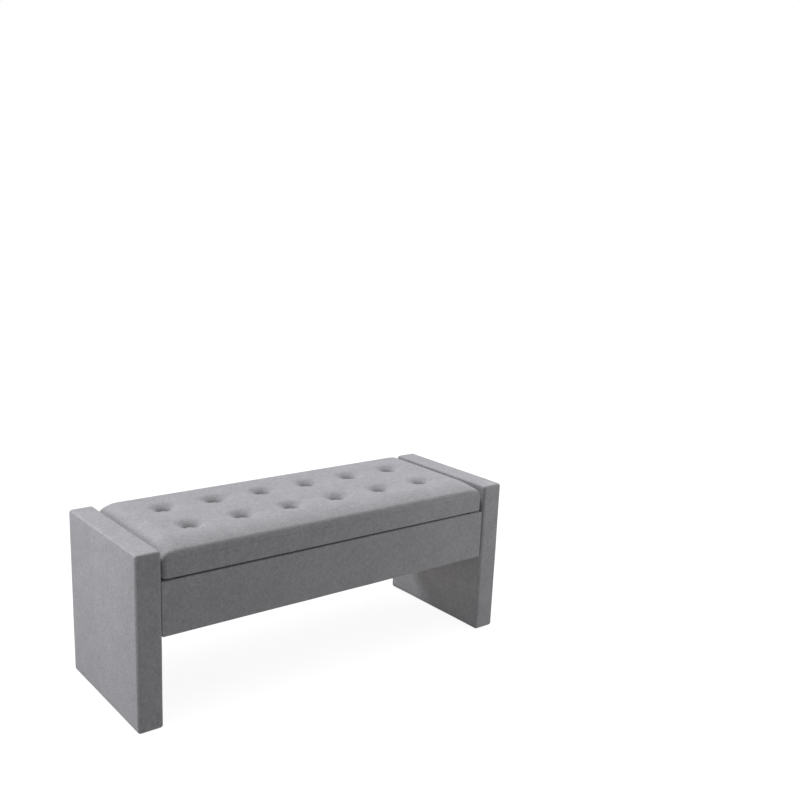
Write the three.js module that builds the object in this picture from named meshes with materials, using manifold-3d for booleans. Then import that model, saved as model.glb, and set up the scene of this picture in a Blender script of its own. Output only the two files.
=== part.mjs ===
// A storage bench: two padded slab ends, a padded box hung between them, and a tufted lid on butt
// hinges with a folding stay at each end. Millimetres. X runs along the bench, -Y is the front, Z is
// up, and the origin is on the floor under the middle of the bench.
import * as THREE from 'three';
import { mergeVertices } from 'three/addons/utils/BufferGeometryUtils.js';
import Module from 'manifold-3d';

const wasm = await Module();
wasm.setup();

// Whole bench.
const LENGTH = 1170;
const DEPTH = 414;
const HEIGHT = 460;
const GAP = 0.3; // between two pieces that touch
const RUN_OUT = 1; // how far a cut runs past the face that it goes through

// Ends.
const END_THICKNESS = 65;
const END_EDGE_RADIUS = 8;
const END_CORNER_RADIUS = 12;
const END_PADDING = 4;
const END_SKIN = 3; // hardboard on each side of the frame
const END_RAIL = 44;
const COVER_CLOTH = 1.5;
const GLIDE_RADIUS = 11;
const GLIDE_NAIL_RADIUS = 1.5;
const GLIDE_NAIL_TOP = 16;
const GLIDE_INSET = 40; // from the front or back of the end
const COVER_BOTTOM = 3;
const COVER_HEM = 12; // cloth turned under round the open bottom of an end's cover

// Box.
const BOX_FRONT = -DEPTH / 2 + 4;
const BOX_BACK = DEPTH / 2 - 8;
const BOX_BOTTOM = 240;
const RIM = 381;
const FRONT_PADDING = 3;
const BACK_PADDING = 2;
const WALL = 15;
const FLOOR_BOARD = 9;
const BATTEN = 12.4;
const BATTEN_WIDTH = 60;
const BOX_CLOTH = 1.7; // where the covers turn over the rim and under the bottom edge
const BOX_COVER_ROUND = 4;
const BOTTOM_RETURN = 32;
const LINING = 1;
const DUST_COVER = 0.8;
const DUST_COVER_INSET = 8;

// Lid.
const LID_HALF_LENGTH = 514.5;
const LID_BOTTOM = 385.3;
const LID_BOARD = 15;
const LID_RETURN = 28;
const LID_PLAN_RADIUS = 14;
// Height and how far the sides have drawn in there, from the bottom edge to the flat of the crown.
const LID_SECTION = [
  [LID_BOTTOM, 3],
  [LID_BOTTOM + 3, 0],
  [430, 0],
  [442, 4],
  [453, 18],
  [462, 48],
  [467, 100],
];
const FOAM_TOP = 446;
const FOAM_EDGE = 12;
const LID_CLOTH = 1.5;
const LID_LINING = 0.8;
const LID_LINING_INSET = 20;

// Tufts.
const TUFTS_PER_ROW = 6;
const TUFT_PITCH = 151;
const TUFT_ROW_OFFSET = 76;
const TUFT_FLOOR = 449.5;
const TUFT_FLOOR_RADIUS = 14;
const TUFT_MOUTH_RADIUS = 27;
const TUFT_MOUTH = HEIGHT + 20; // height of the cone that cuts a tuft, above the crown
const TUFT_SIDES = 10;
const BUTTON_RADIUS = 12;
const BUTTON_HEIGHT = 7;

// Hinges.
const HINGE_X = 340;
const HINGE_LENGTH = 62;
const LEAF = 1.2;
const LEAF_FRONT = 183;
const LEAF_SCREW_PITCH = 21;
const LEAF_SCREW_Y = 190;
const LEAF_SCREW_RADIUS = 2.6; // mouth of a countersunk hole
const LEAF_NOTCH = 0.4; // round the other leaf's knuckles
const KNUCKLE_RADIUS = 3.4;
const BORE_RADIUS = 1.9;
const PIN_RADIUS = 1.6;
const PIN_HEAD = 1.2;
const HINGE_Y = BOX_BACK + 4.3;
const HINGE_Z = (RIM + LID_BOTTOM) / 2;

// Stays. The four pivots of each stay are the corners of a parallelogram whose first corner is the
// hinge line, so both arms turn by the lid's own angle.
const STAY_STRAP = 2;
const STAY_HALF_WIDTH = 7;
const STAY_RUNNING = 0.8; // between neighbouring straps
const STAY_PIVOT = 3;
const STAY_HOLE = 3.5;
const STAY_HEAD = 5.5;
const WALL_PIVOT_FORWARD = 40;
const WALL_PIVOT_DROP = 88;
const LID_PIVOT_FORWARD = 160;
const LID_PIVOT_DROP = 14;
const STAY_HEAD_THICKNESS = 1.2;
const STAY_PLATE_HALF_WIDTH = 10;
const STAY_SCREW_RADIUS = 3.2;
const STAY_PLATE_SCREW = 16; // above and below the wall plate's pivot
const STAY_FLANGE_SCREW = 11; // before and behind the lid bracket's pivot
const STAY_FLANGE = 20;
const STAY_FLANGE_LENGTH = 36;

// Connector bolts.
const BOLT_Y = 120;
const BOLT_Z = 330;
const BOLT_RADIUS = 3;
const BOLT_HOLE = 3.4;
const BOLT_HEAD_RADIUS = 8.5;
const BOLT_HEAD = 2;
const BOLT_REACH = 34; // into the frame of the end

// Bumpers.
const BUMPER_RADIUS = 6;
const BUMPER_X = 470;
const BUMPER_SETBACK = 11; // from the front of the box

const INNER = LENGTH / 2 - END_THICKNESS; // |x| of the ends' inner faces
const CORNER_STEPS = 3;
const CURVE_SEGMENTS = 8; // divisions of a drawn curve
const ROUND_SIDES = 20;

const FINISHES = {
  cloth: { color: 0x97989b, roughness: 0.95, metalness: 0 },
  foam: { color: 0xe4dcc2, roughness: 0.95, metalness: 0 },
  board: { color: 0xb08b62, roughness: 0.8, metalness: 0 },
  pine: { color: 0xd8b98a, roughness: 0.75, metalness: 0 },
  honeycomb: { color: 0xb89a72, roughness: 0.95, metalness: 0 },
  lining: { color: 0x2b2b2d, roughness: 0.95, metalness: 0 },
  steel: { color: 0xb4b6b8, roughness: 0.35, metalness: 0.9 },
  plastic: { color: 0x1b1b1c, roughness: 0.6, metalness: 0 },
  rubber: { color: 0x161616, roughness: 0.85, metalness: 0 },
};

const bench = new THREE.Group();

// ---- shape helpers ----

function block(x, y, z) {
  const geometry = new THREE.BoxGeometry(x[1] - x[0], y[1] - y[0], z[1] - z[0]);
  geometry.translate((x[0] + x[1]) / 2, (y[0] + y[1]) / 2, (z[0] + z[1]) / 2);
  return geometry;
}

// A span of x between two distances from the middle of the bench, on the left (-1) or right (1).
function sideSpan(side, from, to) {
  return [side * from, side * to].sort((a, b) => a - b);
}

// An upright round bar or cone from one height to another.
function upright(x, y, z, bottomRadius, topRadius = bottomRadius, sides = ROUND_SIDES) {
  const geometry = new THREE.CylinderGeometry(topRadius, bottomRadius, z[1] - z[0], sides);
  geometry.rotateX(Math.PI / 2);
  geometry.translate(x, y, (z[0] + z[1]) / 2);
  return geometry;
}

// A round bar along X.
function crossBar(x, y, z, radius, sides = ROUND_SIDES) {
  const geometry = new THREE.CylinderGeometry(radius, radius, x[1] - x[0], sides);
  geometry.rotateZ(Math.PI / 2);
  geometry.translate((x[0] + x[1]) / 2, y, z);
  return geometry;
}

// A shape drawn in Y and Z, carried along X.
function extrudeAlongX(shape, x) {
  const geometry = new THREE.ExtrudeGeometry(shape, {
    depth: x[1] - x[0],
    bevelEnabled: false,
    curveSegments: CURVE_SEGMENTS,
  });
  const yzx = new THREE.Matrix4().makeBasis(
    new THREE.Vector3(0, 1, 0),
    new THREE.Vector3(0, 0, 1),
    new THREE.Vector3(1, 0, 0),
  );
  geometry.applyMatrix4(yzx);
  geometry.translate(x[0], 0, 0);
  return geometry;
}

function roundedOutline(halfWidth, halfDepth, radius) {
  const points = [];
  for (let corner = 0; corner < 4; corner += 1) {
    const signX = corner === 0 || corner === 3 ? 1 : -1;
    const signY = corner < 2 ? 1 : -1;
    for (let step = 0; step <= CORNER_STEPS; step += 1) {
      const angle = (corner + step / CORNER_STEPS) * (Math.PI / 2);
      points.push([
        signX * (halfWidth - radius) + radius * Math.cos(angle),
        signY * (halfDepth - radius) + radius * Math.sin(angle),
      ]);
    }
  }
  return points;
}

// A closed solid through a stack of level rounded rectangles, lowest first.
function stack(rings) {
  const positions = [];
  const faces = [];
  const count = 4 * (CORNER_STEPS + 1);
  for (const ring of rings) {
    for (const [x, y] of roundedOutline(ring.halfWidth, ring.halfDepth, ring.radius)) {
      positions.push(x, y, ring.height);
    }
  }
  for (let level = 0; level < rings.length - 1; level += 1) {
    for (let i = 0; i < count; i += 1) {
      const a = level * count + i;
      const b = level * count + ((i + 1) % count);
      faces.push(a, b, b + count, a, b + count, a + count);
    }
  }
  const top = (rings.length - 1) * count;
  for (let i = 1; i < count - 1; i += 1) {
    faces.push(0, i + 1, i, top, top + i, top + i + 1);
  }
  const geometry = new THREE.BufferGeometry();
  geometry.setAttribute('position', new THREE.Float32BufferAttribute(positions, 3));
  geometry.setIndex(faces);
  geometry.computeVertexNormals();
  return geometry;
}

// Rings of a slab whose two flat faces have rounded edges.
function slabRings(halfWidth, halfDepth, thickness, edge, corner) {
  const rings = [];
  for (const face of [-1, 1]) {
    for (let step = 0; step <= CORNER_STEPS; step += 1) {
      const turn = (face < 0 ? step : CORNER_STEPS - step) / CORNER_STEPS;
      const angle = (turn * Math.PI) / 2;
      const inset = edge * (1 - Math.sin(angle));
      rings.push({
        halfWidth: halfWidth - inset,
        halfDepth: halfDepth - inset,
        radius: corner - inset,
        height: face * (thickness / 2 - edge * (1 - Math.cos(angle))),
      });
    }
  }
  return rings;
}

// Straps with round ends, in Y and Z, from one pivot to the other.
function strapShape(from, to, halfWidth) {
  const angle = Math.atan2(to[1] - from[1], to[0] - from[0]);
  const quarter = Math.PI / 2;
  const shape = new THREE.Shape();
  shape.absarc(to[0], to[1], halfWidth, angle - quarter, angle + quarter, false);
  shape.absarc(from[0], from[1], halfWidth, angle + quarter, angle + 3 * quarter, false);
  shape.closePath();
  return shape;
}

function addHole(shape, centre, radius) {
  const hole = new THREE.Path();
  hole.absarc(centre[0], centre[1], radius, 0, 2 * Math.PI, true);
  shape.holes.push(hole);
}

// ---- joining and cutting ----

function toSolid(geometry) {
  const bare = geometry.clone();
  bare.deleteAttribute('normal');
  bare.deleteAttribute('uv');
  const merged = mergeVertices(bare, 1e-4);
  return new wasm.Manifold(
    new wasm.Mesh({
      numProp: 3,
      vertProperties: merged.attributes.position.array,
      triVerts: new Uint32Array(merged.index.array),
    }),
  );
}

function toGeometry(solid) {
  const mesh = solid.getMesh();
  const geometry = new THREE.BufferGeometry();
  geometry.setAttribute('position', new THREE.BufferAttribute(mesh.vertProperties, 3));
  geometry.setIndex(new THREE.BufferAttribute(mesh.triVerts, 1));
  geometry.computeVertexNormals();
  return geometry;
}

function join(...geometries) {
  return toGeometry(geometries.map(toSolid).reduce((whole, piece) => whole.add(piece)));
}

function cut(geometry, ...tools) {
  return toGeometry(tools.map(toSolid).reduce((rest, tool) => rest.subtract(tool), toSolid(geometry)));
}

function addPart(name, geometry, finish, place = [0, 0, 0]) {
  const mesh = new THREE.Mesh(geometry, new THREE.MeshStandardMaterial(FINISHES[finish]));
  mesh.name = name;
  mesh.position.set(...place);
  bench.add(mesh);
}

// ---- ends ----

const END_MIDDLE = LENGTH / 2 - END_THICKNESS / 2;
const CAVITY_HALF_DEPTH = DEPTH / 2 - END_PADDING;
const CAVITY_TOP = HEIGHT - END_PADDING;
const CAVITY_BOTTOM = COVER_BOTTOM + COVER_CLOTH;
const FRAME_BOTTOM = CAVITY_BOTTOM + GAP;
const FRAME_TOP = CAVITY_TOP - GAP;
const FRAME_HALF_DEPTH = CAVITY_HALF_DEPTH - GAP;
const FRAME_HALF_THICKNESS = END_THICKNESS / 2 - END_PADDING - END_SKIN - 2 * GAP;
const HANGING_RAIL = [275, 385]; // the rail that the box is bolted to
const BOLT_TIP = INNER + END_PADDING + END_SKIN + BOLT_REACH;

function boltHoles(side, from, to, radius = BOLT_HOLE) {
  return [-BOLT_Y, BOLT_Y].map((y) => crossBar(sideSpan(side, from, to), y, BOLT_Z, radius));
}

function endCover(side) {
  const height = HEIGHT - COVER_BOTTOM;
  const slab = stack(
    slabRings(DEPTH / 2, height / 2, END_THICKNESS, END_EDGE_RADIUS, END_CORNER_RADIUS),
  );
  slab.applyMatrix4(
    new THREE.Matrix4().makeBasis(
      new THREE.Vector3(0, 1, 0),
      new THREE.Vector3(0, 0, 1),
      new THREE.Vector3(1, 0, 0),
    ),
  );
  slab.translate(side * END_MIDDLE, 0, COVER_BOTTOM + height / 2);
  const halfThickness = END_THICKNESS / 2 - END_PADDING;
  const across = sideSpan(side, END_MIDDLE - halfThickness, END_MIDDLE + halfThickness);
  const cavity = block(across, [-CAVITY_HALF_DEPTH, CAVITY_HALF_DEPTH], [CAVITY_BOTTOM, CAVITY_TOP]);
  const mouth = block(
    [across[0] + COVER_HEM, across[1] - COVER_HEM],
    [-CAVITY_HALF_DEPTH + COVER_HEM, CAVITY_HALF_DEPTH - COVER_HEM],
    [COVER_BOTTOM - RUN_OUT, CAVITY_BOTTOM + RUN_OUT],
  );
  return cut(slab, cavity, mouth, ...boltHoles(side, INNER - RUN_OUT, INNER + END_PADDING + RUN_OUT));
}

function endFrame(side) {
  const shape = new THREE.Shape();
  shape.moveTo(-FRAME_HALF_DEPTH, FRAME_BOTTOM);
  shape.lineTo(FRAME_HALF_DEPTH, FRAME_BOTTOM);
  shape.lineTo(FRAME_HALF_DEPTH, FRAME_TOP);
  shape.lineTo(-FRAME_HALF_DEPTH, FRAME_TOP);
  shape.closePath();
  const windowHalf = FRAME_HALF_DEPTH - END_RAIL;
  for (const [low, high] of [
    [FRAME_BOTTOM + END_RAIL, HANGING_RAIL[0]],
    [HANGING_RAIL[1], FRAME_TOP - END_RAIL],
  ]) {
    const opening = new THREE.Path();
    opening.moveTo(-windowHalf, low);
    opening.lineTo(-windowHalf, high);
    opening.lineTo(windowHalf, high);
    opening.lineTo(windowHalf, low);
    opening.closePath();
    shape.holes.push(opening);
  }
  const x = sideSpan(side, END_MIDDLE - FRAME_HALF_THICKNESS, END_MIDDLE + FRAME_HALF_THICKNESS);
  const nailHoles = [-1, 1].map((end) =>
    upright(side * END_MIDDLE, end * GLIDE_Y, [0, GLIDE_NAIL_TOP + RUN_OUT], GLIDE_NAIL_RADIUS + GAP),
  );
  const bolts = boltHoles(side, INNER, BOLT_TIP + RUN_OUT);
  return cut(extrudeAlongX(shape, x), ...nailHoles, ...bolts);
}

function endCore(side) {
  const half = FRAME_HALF_THICKNESS;
  const halfDepth = FRAME_HALF_DEPTH - END_RAIL - GAP;
  return block(
    sideSpan(side, END_MIDDLE - half, END_MIDDLE + half),
    [-halfDepth, halfDepth],
    [FRAME_BOTTOM + END_RAIL + GAP, HANGING_RAIL[0] - GAP],
  );
}

function endSkin(side, face) {
  const near = FRAME_HALF_THICKNESS + GAP;
  const from = END_MIDDLE + face * near;
  const to = END_MIDDLE + face * (near + END_SKIN - GAP);
  const sheet = block(
    sideSpan(side, from, to),
    [-FRAME_HALF_DEPTH, FRAME_HALF_DEPTH],
    [FRAME_BOTTOM, FRAME_TOP],
  );
  return face < 0 ? cut(sheet, ...boltHoles(side, INNER, BOLT_TIP)) : sheet;
}

const GLIDE_Y = DEPTH / 2 - GLIDE_INSET;

function glide() {
  const top = FRAME_BOTTOM - GAP;
  const profile = [
    [0, 0],
    [GLIDE_RADIUS - 1, 0],
    [GLIDE_RADIUS, 1],
    [GLIDE_RADIUS, top],
    [GLIDE_NAIL_RADIUS, top],
    [GLIDE_NAIL_RADIUS, GLIDE_NAIL_TOP - 2],
    [0, GLIDE_NAIL_TOP],
  ].map(([radius, height]) => new THREE.Vector2(radius, height));
  const geometry = new THREE.LatheGeometry(profile, ROUND_SIDES);
  geometry.rotateX(Math.PI / 2);
  return geometry;
}

function buildEnd(side, word) {
  addPart(`${word}_end_cover`, endCover(side), 'cloth');
  addPart(`${word}_end_frame`, endFrame(side), 'pine');
  addPart(`${word}_end_core`, endCore(side), 'honeycomb');
  addPart(`${word}_end_inner_skin`, endSkin(side, -1), 'board');
  addPart(`${word}_end_outer_skin`, endSkin(side, 1), 'board');
  addPart(`${word}_front_glide`, glide(), 'plastic', [side * END_MIDDLE, -GLIDE_Y, 0]);
  addPart(`${word}_back_glide`, glide(), 'plastic', [side * END_MIDDLE, GLIDE_Y, 0]);
}

// ---- box ----

const PANEL_BOTTOM = BOX_BOTTOM + BOX_CLOTH + GAP;
const PANEL_TOP = RIM - BOX_CLOTH - GAP;
const FRONT_PANEL = [BOX_FRONT + FRONT_PADDING + GAP, BOX_FRONT + FRONT_PADDING + GAP + WALL];
const BACK_PANEL = [BOX_BACK - BACK_PADDING - GAP - WALL, BOX_BACK - BACK_PADDING - GAP];
const BOX_INSIDE = [FRONT_PANEL[1] + GAP, BACK_PANEL[0] - GAP];
const BOX_HALF = INNER - GAP;
const WALL_INNER = BOX_HALF - WALL;
const LINING_OUTER = WALL_INNER - GAP;
const LINING_INNER = LINING_OUTER - LINING;
const BATTEN_BOTTOM = PANEL_BOTTOM;
const FLOOR_BOTTOM = BATTEN_BOTTOM + BATTEN + GAP;
const LINING_BOTTOM = FLOOR_BOTTOM + FLOOR_BOARD + GAP;

// A cover that wraps the outside of a long panel: over the rim at the top, under the bottom edge
// and round both ends.
function wrapCover(outside, inward, padding) {
  const face = outside + inward * padding;
  const rimEnd = outside + inward * (padding + GAP + WALL);
  const returnEnd = outside + inward * BOTTOM_RETURN;
  const bend = outside + inward * BOX_COVER_ROUND;
  const drawOutside = (shape, bottomEnd) => {
    shape.moveTo(bottomEnd, BOX_BOTTOM);
    shape.lineTo(bend, BOX_BOTTOM);
    shape.quadraticCurveTo(outside, BOX_BOTTOM, outside, BOX_BOTTOM + BOX_COVER_ROUND);
    shape.lineTo(outside, RIM - BOX_COVER_ROUND);
    shape.quadraticCurveTo(outside, RIM, bend, RIM);
    shape.lineTo(rimEnd, RIM);
  };
  const wrap = new THREE.Shape();
  drawOutside(wrap, returnEnd);
  wrap.lineTo(rimEnd, RIM - BOX_CLOTH);
  wrap.lineTo(face, RIM - BOX_CLOTH);
  wrap.lineTo(face, BOX_BOTTOM + BOX_CLOTH);
  wrap.lineTo(returnEnd, BOX_BOTTOM + BOX_CLOTH);
  wrap.closePath();
  const cap = new THREE.Shape();
  drawOutside(cap, rimEnd);
  cap.closePath();
  const caps = [-1, 1].map((side) => extrudeAlongX(cap, sideSpan(side, BOX_HALF - BOX_CLOTH, BOX_HALF)));
  return join(extrudeAlongX(wrap, [-BOX_HALF, BOX_HALF]), ...caps);
}

function boxSideWall(side) {
  const wall = block(sideSpan(side, WALL_INNER, BOX_HALF), BOX_INSIDE, [PANEL_BOTTOM, RIM - LINING - GAP]);
  return cut(wall, ...boltHoles(side, WALL_INNER - RUN_OUT, BOX_HALF + RUN_OUT));
}

// The lining is an open tray whose ends fold over the rims of the side walls.
function boxLining() {
  const outer = block([-LINING_OUTER, LINING_OUTER], [BOX_INSIDE[0], BOX_INSIDE[1]], [LINING_BOTTOM, RIM]);
  const inner = block(
    [-LINING_INNER, LINING_INNER],
    [BOX_INSIDE[0] + LINING, BOX_INSIDE[1] - LINING],
    [LINING_BOTTOM + LINING, RIM + RUN_OUT],
  );
  const folds = [-1, 1].map((side) =>
    block(sideSpan(side, LINING_INNER, BOX_HALF), BOX_INSIDE, [RIM - LINING, RIM]),
  );
  const tray = cut(outer, inner);
  const holes = [-1, 1].flatMap((side) =>
    boltHoles(side, LINING_INNER - RUN_OUT, LINING_OUTER + RUN_OUT),
  );
  return cut(join(tray, ...folds), ...holes);
}

function bolt(side) {
  const headFrom = LINING_INNER - GAP - BOLT_HEAD;
  const headTo = LINING_INNER - GAP;
  return join(
    crossBar(sideSpan(side, headFrom, headTo), 0, 0, BOLT_HEAD_RADIUS),
    crossBar(sideSpan(side, headFrom + BOLT_HEAD / 2, BOLT_TIP), 0, 0, BOLT_RADIUS),
  );
}

function buildBox() {
  const panelHalf = BOX_HALF - BOX_CLOTH - GAP;
  const long = [-panelHalf, panelHalf];
  const between = [-WALL_INNER + GAP, WALL_INNER - GAP];
  const tall = [PANEL_BOTTOM, PANEL_TOP];
  addPart('box_front_cover', wrapCover(BOX_FRONT, 1, FRONT_PADDING), 'cloth');
  addPart('box_back_cover', wrapCover(BOX_BACK, -1, BACK_PADDING), 'cloth');
  addPart('box_front_panel', block(long, FRONT_PANEL, tall), 'board');
  addPart('box_back_panel', block(long, BACK_PANEL, tall), 'board');
  addPart('box_left_wall', boxSideWall(-1), 'board');
  addPart('box_right_wall', boxSideWall(1), 'board');
  addPart('box_floor', block(between, BOX_INSIDE, [FLOOR_BOTTOM, FLOOR_BOTTOM + FLOOR_BOARD]), 'board');
  addPart(
    'box_floor_batten',
    block([-BATTEN_WIDTH / 2, BATTEN_WIDTH / 2], BOX_INSIDE, [BATTEN_BOTTOM, BATTEN_BOTTOM + BATTEN]),
    'pine',
  );
  addPart('box_lining', boxLining(), 'lining');
  const dustTop = BOX_BOTTOM - GAP;
  addPart(
    'box_dust_cover',
    block(
      [-BOX_HALF + DUST_COVER_INSET, BOX_HALF - DUST_COVER_INSET],
      [BOX_FRONT + DUST_COVER_INSET, BOX_BACK - DUST_COVER_INSET],
      [dustTop - DUST_COVER, dustTop],
    ),
    'lining',
  );
  for (const [side, word] of [[-1, 'left'], [1, 'right']]) {
    addPart(`${word}_front_bolt`, bolt(side), 'steel', [0, -BOLT_Y, BOLT_Z]);
    addPart(`${word}_back_bolt`, bolt(side), 'steel', [0, BOLT_Y, BOLT_Z]);
    const bumper = upright(0, 0, [RIM + GAP, LID_BOTTOM - GAP], BUMPER_RADIUS);
    addPart(`${word}_lid_bumper`, bumper, 'rubber', [side * BUMPER_X, BOX_FRONT + BUMPER_SETBACK, 0]);
  }
}

// ---- lid ----

const LID_Y = (BOX_FRONT + 0.5 + BOX_BACK) / 2;
const LID_HALF_DEPTH = (BOX_BACK - BOX_FRONT - 0.5) / 2;
const BOARD_BOTTOM = LID_BOTTOM + LID_CLOTH + GAP;
const BOARD_TOP = BOARD_BOTTOM + LID_BOARD;
const CAVITY_INSET = LID_CLOTH + 1;
const FOAM_INSET = CAVITY_INSET + GAP;

function lidRings(section, plan) {
  return section.map(([height, inset]) => ({
    halfWidth: LID_HALF_LENGTH - inset,
    halfDepth: LID_HALF_DEPTH - inset,
    radius: plan + 0.5 * inset,
    height,
  }));
}

// The inside of the cover, or the foam and board that fill it.
function lidFilling(inset, bottom, top) {
  return stack(
    lidRings(
      [
        [bottom, inset],
        [top - FOAM_EDGE, inset],
        [top - FOAM_EDGE / 3, inset + FOAM_EDGE / 3],
        [top, inset + FOAM_EDGE],
      ],
      LID_PLAN_RADIUS - inset,
    ),
  );
}

function tuftPlaces() {
  const places = [];
  for (const [row, y] of [['front', -TUFT_ROW_OFFSET], ['back', TUFT_ROW_OFFSET]]) {
    for (let i = 0; i < TUFTS_PER_ROW; i += 1) {
      const x = (i - (TUFTS_PER_ROW - 1) / 2) * TUFT_PITCH;
      places.push({ name: `${row}_button_${i + 1}`, x, y });
    }
  }
  return places;
}

function lidCover() {
  const outside = stack(lidRings(LID_SECTION, LID_PLAN_RADIUS));
  const inside = lidFilling(CAVITY_INSET, LID_BOTTOM + LID_CLOTH, FOAM_TOP + GAP);
  const mouth = block(
    [-LID_HALF_LENGTH + LID_RETURN, LID_HALF_LENGTH - LID_RETURN],
    [-LID_HALF_DEPTH + LID_RETURN, LID_HALF_DEPTH - LID_RETURN],
    [LID_BOTTOM - RUN_OUT, LID_BOTTOM + LID_CLOTH + RUN_OUT],
  );
  const tufts = tuftPlaces().map(({ x, y }) =>
    upright(x, y - LID_Y, [TUFT_FLOOR, TUFT_MOUTH], TUFT_FLOOR_RADIUS, TUFT_MOUTH_RADIUS, TUFT_SIDES),
  );
  return cut(outside, inside, mouth, ...tufts);
}

function button() {
  const profile = [
    [0, 0],
    [BUTTON_RADIUS - 2, 0],
    [BUTTON_RADIUS, 2],
    [BUTTON_RADIUS * 0.8, BUTTON_HEIGHT * 0.75],
    [BUTTON_RADIUS * 0.4, BUTTON_HEIGHT * 0.95],
    [0, BUTTON_HEIGHT],
  ].map(([radius, height]) => new THREE.Vector2(radius, height));
  const geometry = new THREE.LatheGeometry(profile, ROUND_SIDES);
  geometry.rotateX(Math.PI / 2);
  return geometry;
}

function buildLid() {
  addPart('lid_cover', lidCover(), 'cloth', [0, LID_Y, 0]);
  addPart('lid_foam', lidFilling(FOAM_INSET, BOARD_TOP + GAP, FOAM_TOP), 'foam', [0, LID_Y, 0]);
  const board = stack(
    lidRings([[BOARD_BOTTOM, FOAM_INSET], [BOARD_TOP, FOAM_INSET]], LID_PLAN_RADIUS - FOAM_INSET),
  );
  addPart('lid_board', board, 'board', [0, LID_Y, 0]);
  const lining = block(
    [-LID_HALF_LENGTH + LID_LINING_INSET, LID_HALF_LENGTH - LID_LINING_INSET],
    [-LID_HALF_DEPTH + LID_LINING_INSET, LID_HALF_DEPTH - LID_LINING_INSET],
    [LID_BOTTOM - GAP - LID_LINING, LID_BOTTOM - GAP],
  );
  addPart('lid_lining', lining, 'lining', [0, LID_Y, 0]);
  for (const { name, x, y } of tuftPlaces()) {
    addPart(name, button(), 'cloth', [x, y, TUFT_FLOOR + GAP]);
  }
}

// ---- hinges ----

// A leaf with knuckles on the hinge line, two outer ones or a middle one, and three screw holes.
function hingeLeaf(z, knuckles) {
  const half = HINGE_LENGTH / 2;
  const plate = block([-half, half], [LEAF_FRONT, HINGE_Y], z);
  const clearances = [];
  for (const [from, to] of [[-half, -half / 3], [-half / 3, half / 3], [half / 3, half]]) {
    const own = knuckles.some(([start]) => start === from);
    if (!own) {
      clearances.push(
        block(
          [from - GAP, to + GAP],
          [HINGE_Y - KNUCKLE_RADIUS - LEAF_NOTCH, HINGE_Y + KNUCKLE_RADIUS + RUN_OUT],
          [z[0] - RUN_OUT, z[1] + RUN_OUT],
        ),
      );
    }
  }
  const tubes = knuckles.map(([from, to]) =>
    crossBar([from + GAP, to - GAP], HINGE_Y, HINGE_Z, KNUCKLE_RADIUS),
  );
  const bore = crossBar([-half - RUN_OUT, half + RUN_OUT], HINGE_Y, HINGE_Z, BORE_RADIUS);
  const screwHoles = [-1, 0, 1].map((place) =>
    upright(
      place * LEAF_SCREW_PITCH,
      LEAF_SCREW_Y,
      [z[0] - RUN_OUT, z[1] + RUN_OUT],
      LEAF_SCREW_RADIUS,
    ),
  );
  return cut(join(cut(plate, ...clearances), ...tubes), bore, ...screwHoles);
}

function hingePin() {
  const half = HINGE_LENGTH / 2 + GAP;
  const profile = [
    [0, -half - PIN_HEAD],
    [PIN_RADIUS + 1, -half - PIN_HEAD],
    [PIN_RADIUS + 1, -half],
    [PIN_RADIUS, -half],
    [PIN_RADIUS, half],
    [PIN_RADIUS + 1, half],
    [PIN_RADIUS + 1, half + PIN_HEAD],
    [0, half + PIN_HEAD],
  ].map(([radius, along]) => new THREE.Vector2(radius, along));
  const geometry = new THREE.LatheGeometry(profile, ROUND_SIDES);
  geometry.rotateZ(-Math.PI / 2);
  return geometry;
}

function buildHinge(side, word) {
  const half = HINGE_LENGTH / 2;
  const lowerLeaf = [RIM + GAP, RIM + GAP + LEAF];
  const upperTop = LID_BOTTOM - GAP;
  const outerKnuckles = [[-half, -half / 3], [half / 3, half]];
  const middleKnuckle = [[-half / 3, half / 3]];
  const place = [side * HINGE_X, 0, 0];
  addPart(`${word}_hinge_lower_leaf`, hingeLeaf(lowerLeaf, outerKnuckles), 'steel', place);
  addPart(`${word}_hinge_upper_leaf`, hingeLeaf([upperTop - LEAF, upperTop], middleKnuckle), 'steel', place);
  addPart(`${word}_hinge_pin`, hingePin(), 'steel', [side * HINGE_X, HINGE_Y, HINGE_Z]);
}

// ---- lid stays ----

const WALL_PIVOT = [HINGE_Y - WALL_PIVOT_FORWARD, HINGE_Z - WALL_PIVOT_DROP];
const LID_PIVOT = [HINGE_Y - LID_PIVOT_FORWARD, HINGE_Z - LID_PIVOT_DROP];
const ELBOW = [
  WALL_PIVOT[0] + LID_PIVOT[0] - HINGE_Y,
  WALL_PIVOT[1] + LID_PIVOT[1] - HINGE_Z,
];
// Distances from the middle of the bench, going in from the box's side wall.
const PLATE_OUT = LINING_INNER - GAP;
const PLATE_IN = PLATE_OUT - STAY_STRAP;
const LOWER_OUT = PLATE_IN - STAY_RUNNING;
const LOWER_IN = LOWER_OUT - STAY_STRAP;
const UPPER_OUT = LOWER_IN - STAY_RUNNING;
const UPPER_IN = UPPER_OUT - STAY_STRAP;
const EAR_OUT = UPPER_IN - STAY_RUNNING;
const EAR_IN = EAR_OUT - STAY_STRAP;

function stayWallPlate(side) {
  const [y, z] = WALL_PIVOT;
  const screws = [-1, 1].map((place) => [y, z + place * STAY_PLATE_SCREW]);
  const backPlate = strapShape(...screws, STAY_PLATE_HALF_WIDTH);
  screws.forEach((centre) => addHole(backPlate, centre, STAY_SCREW_RADIUS));
  return join(
    extrudeAlongX(backPlate, sideSpan(side, PLATE_IN, PLATE_OUT)),
    crossBar(sideSpan(side, UPPER_OUT, PLATE_IN + RUN_OUT), y, z, STAY_PIVOT),
    crossBar(sideSpan(side, UPPER_OUT - STAY_HEAD_THICKNESS, UPPER_OUT), y, z, STAY_HEAD),
  );
}

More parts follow.
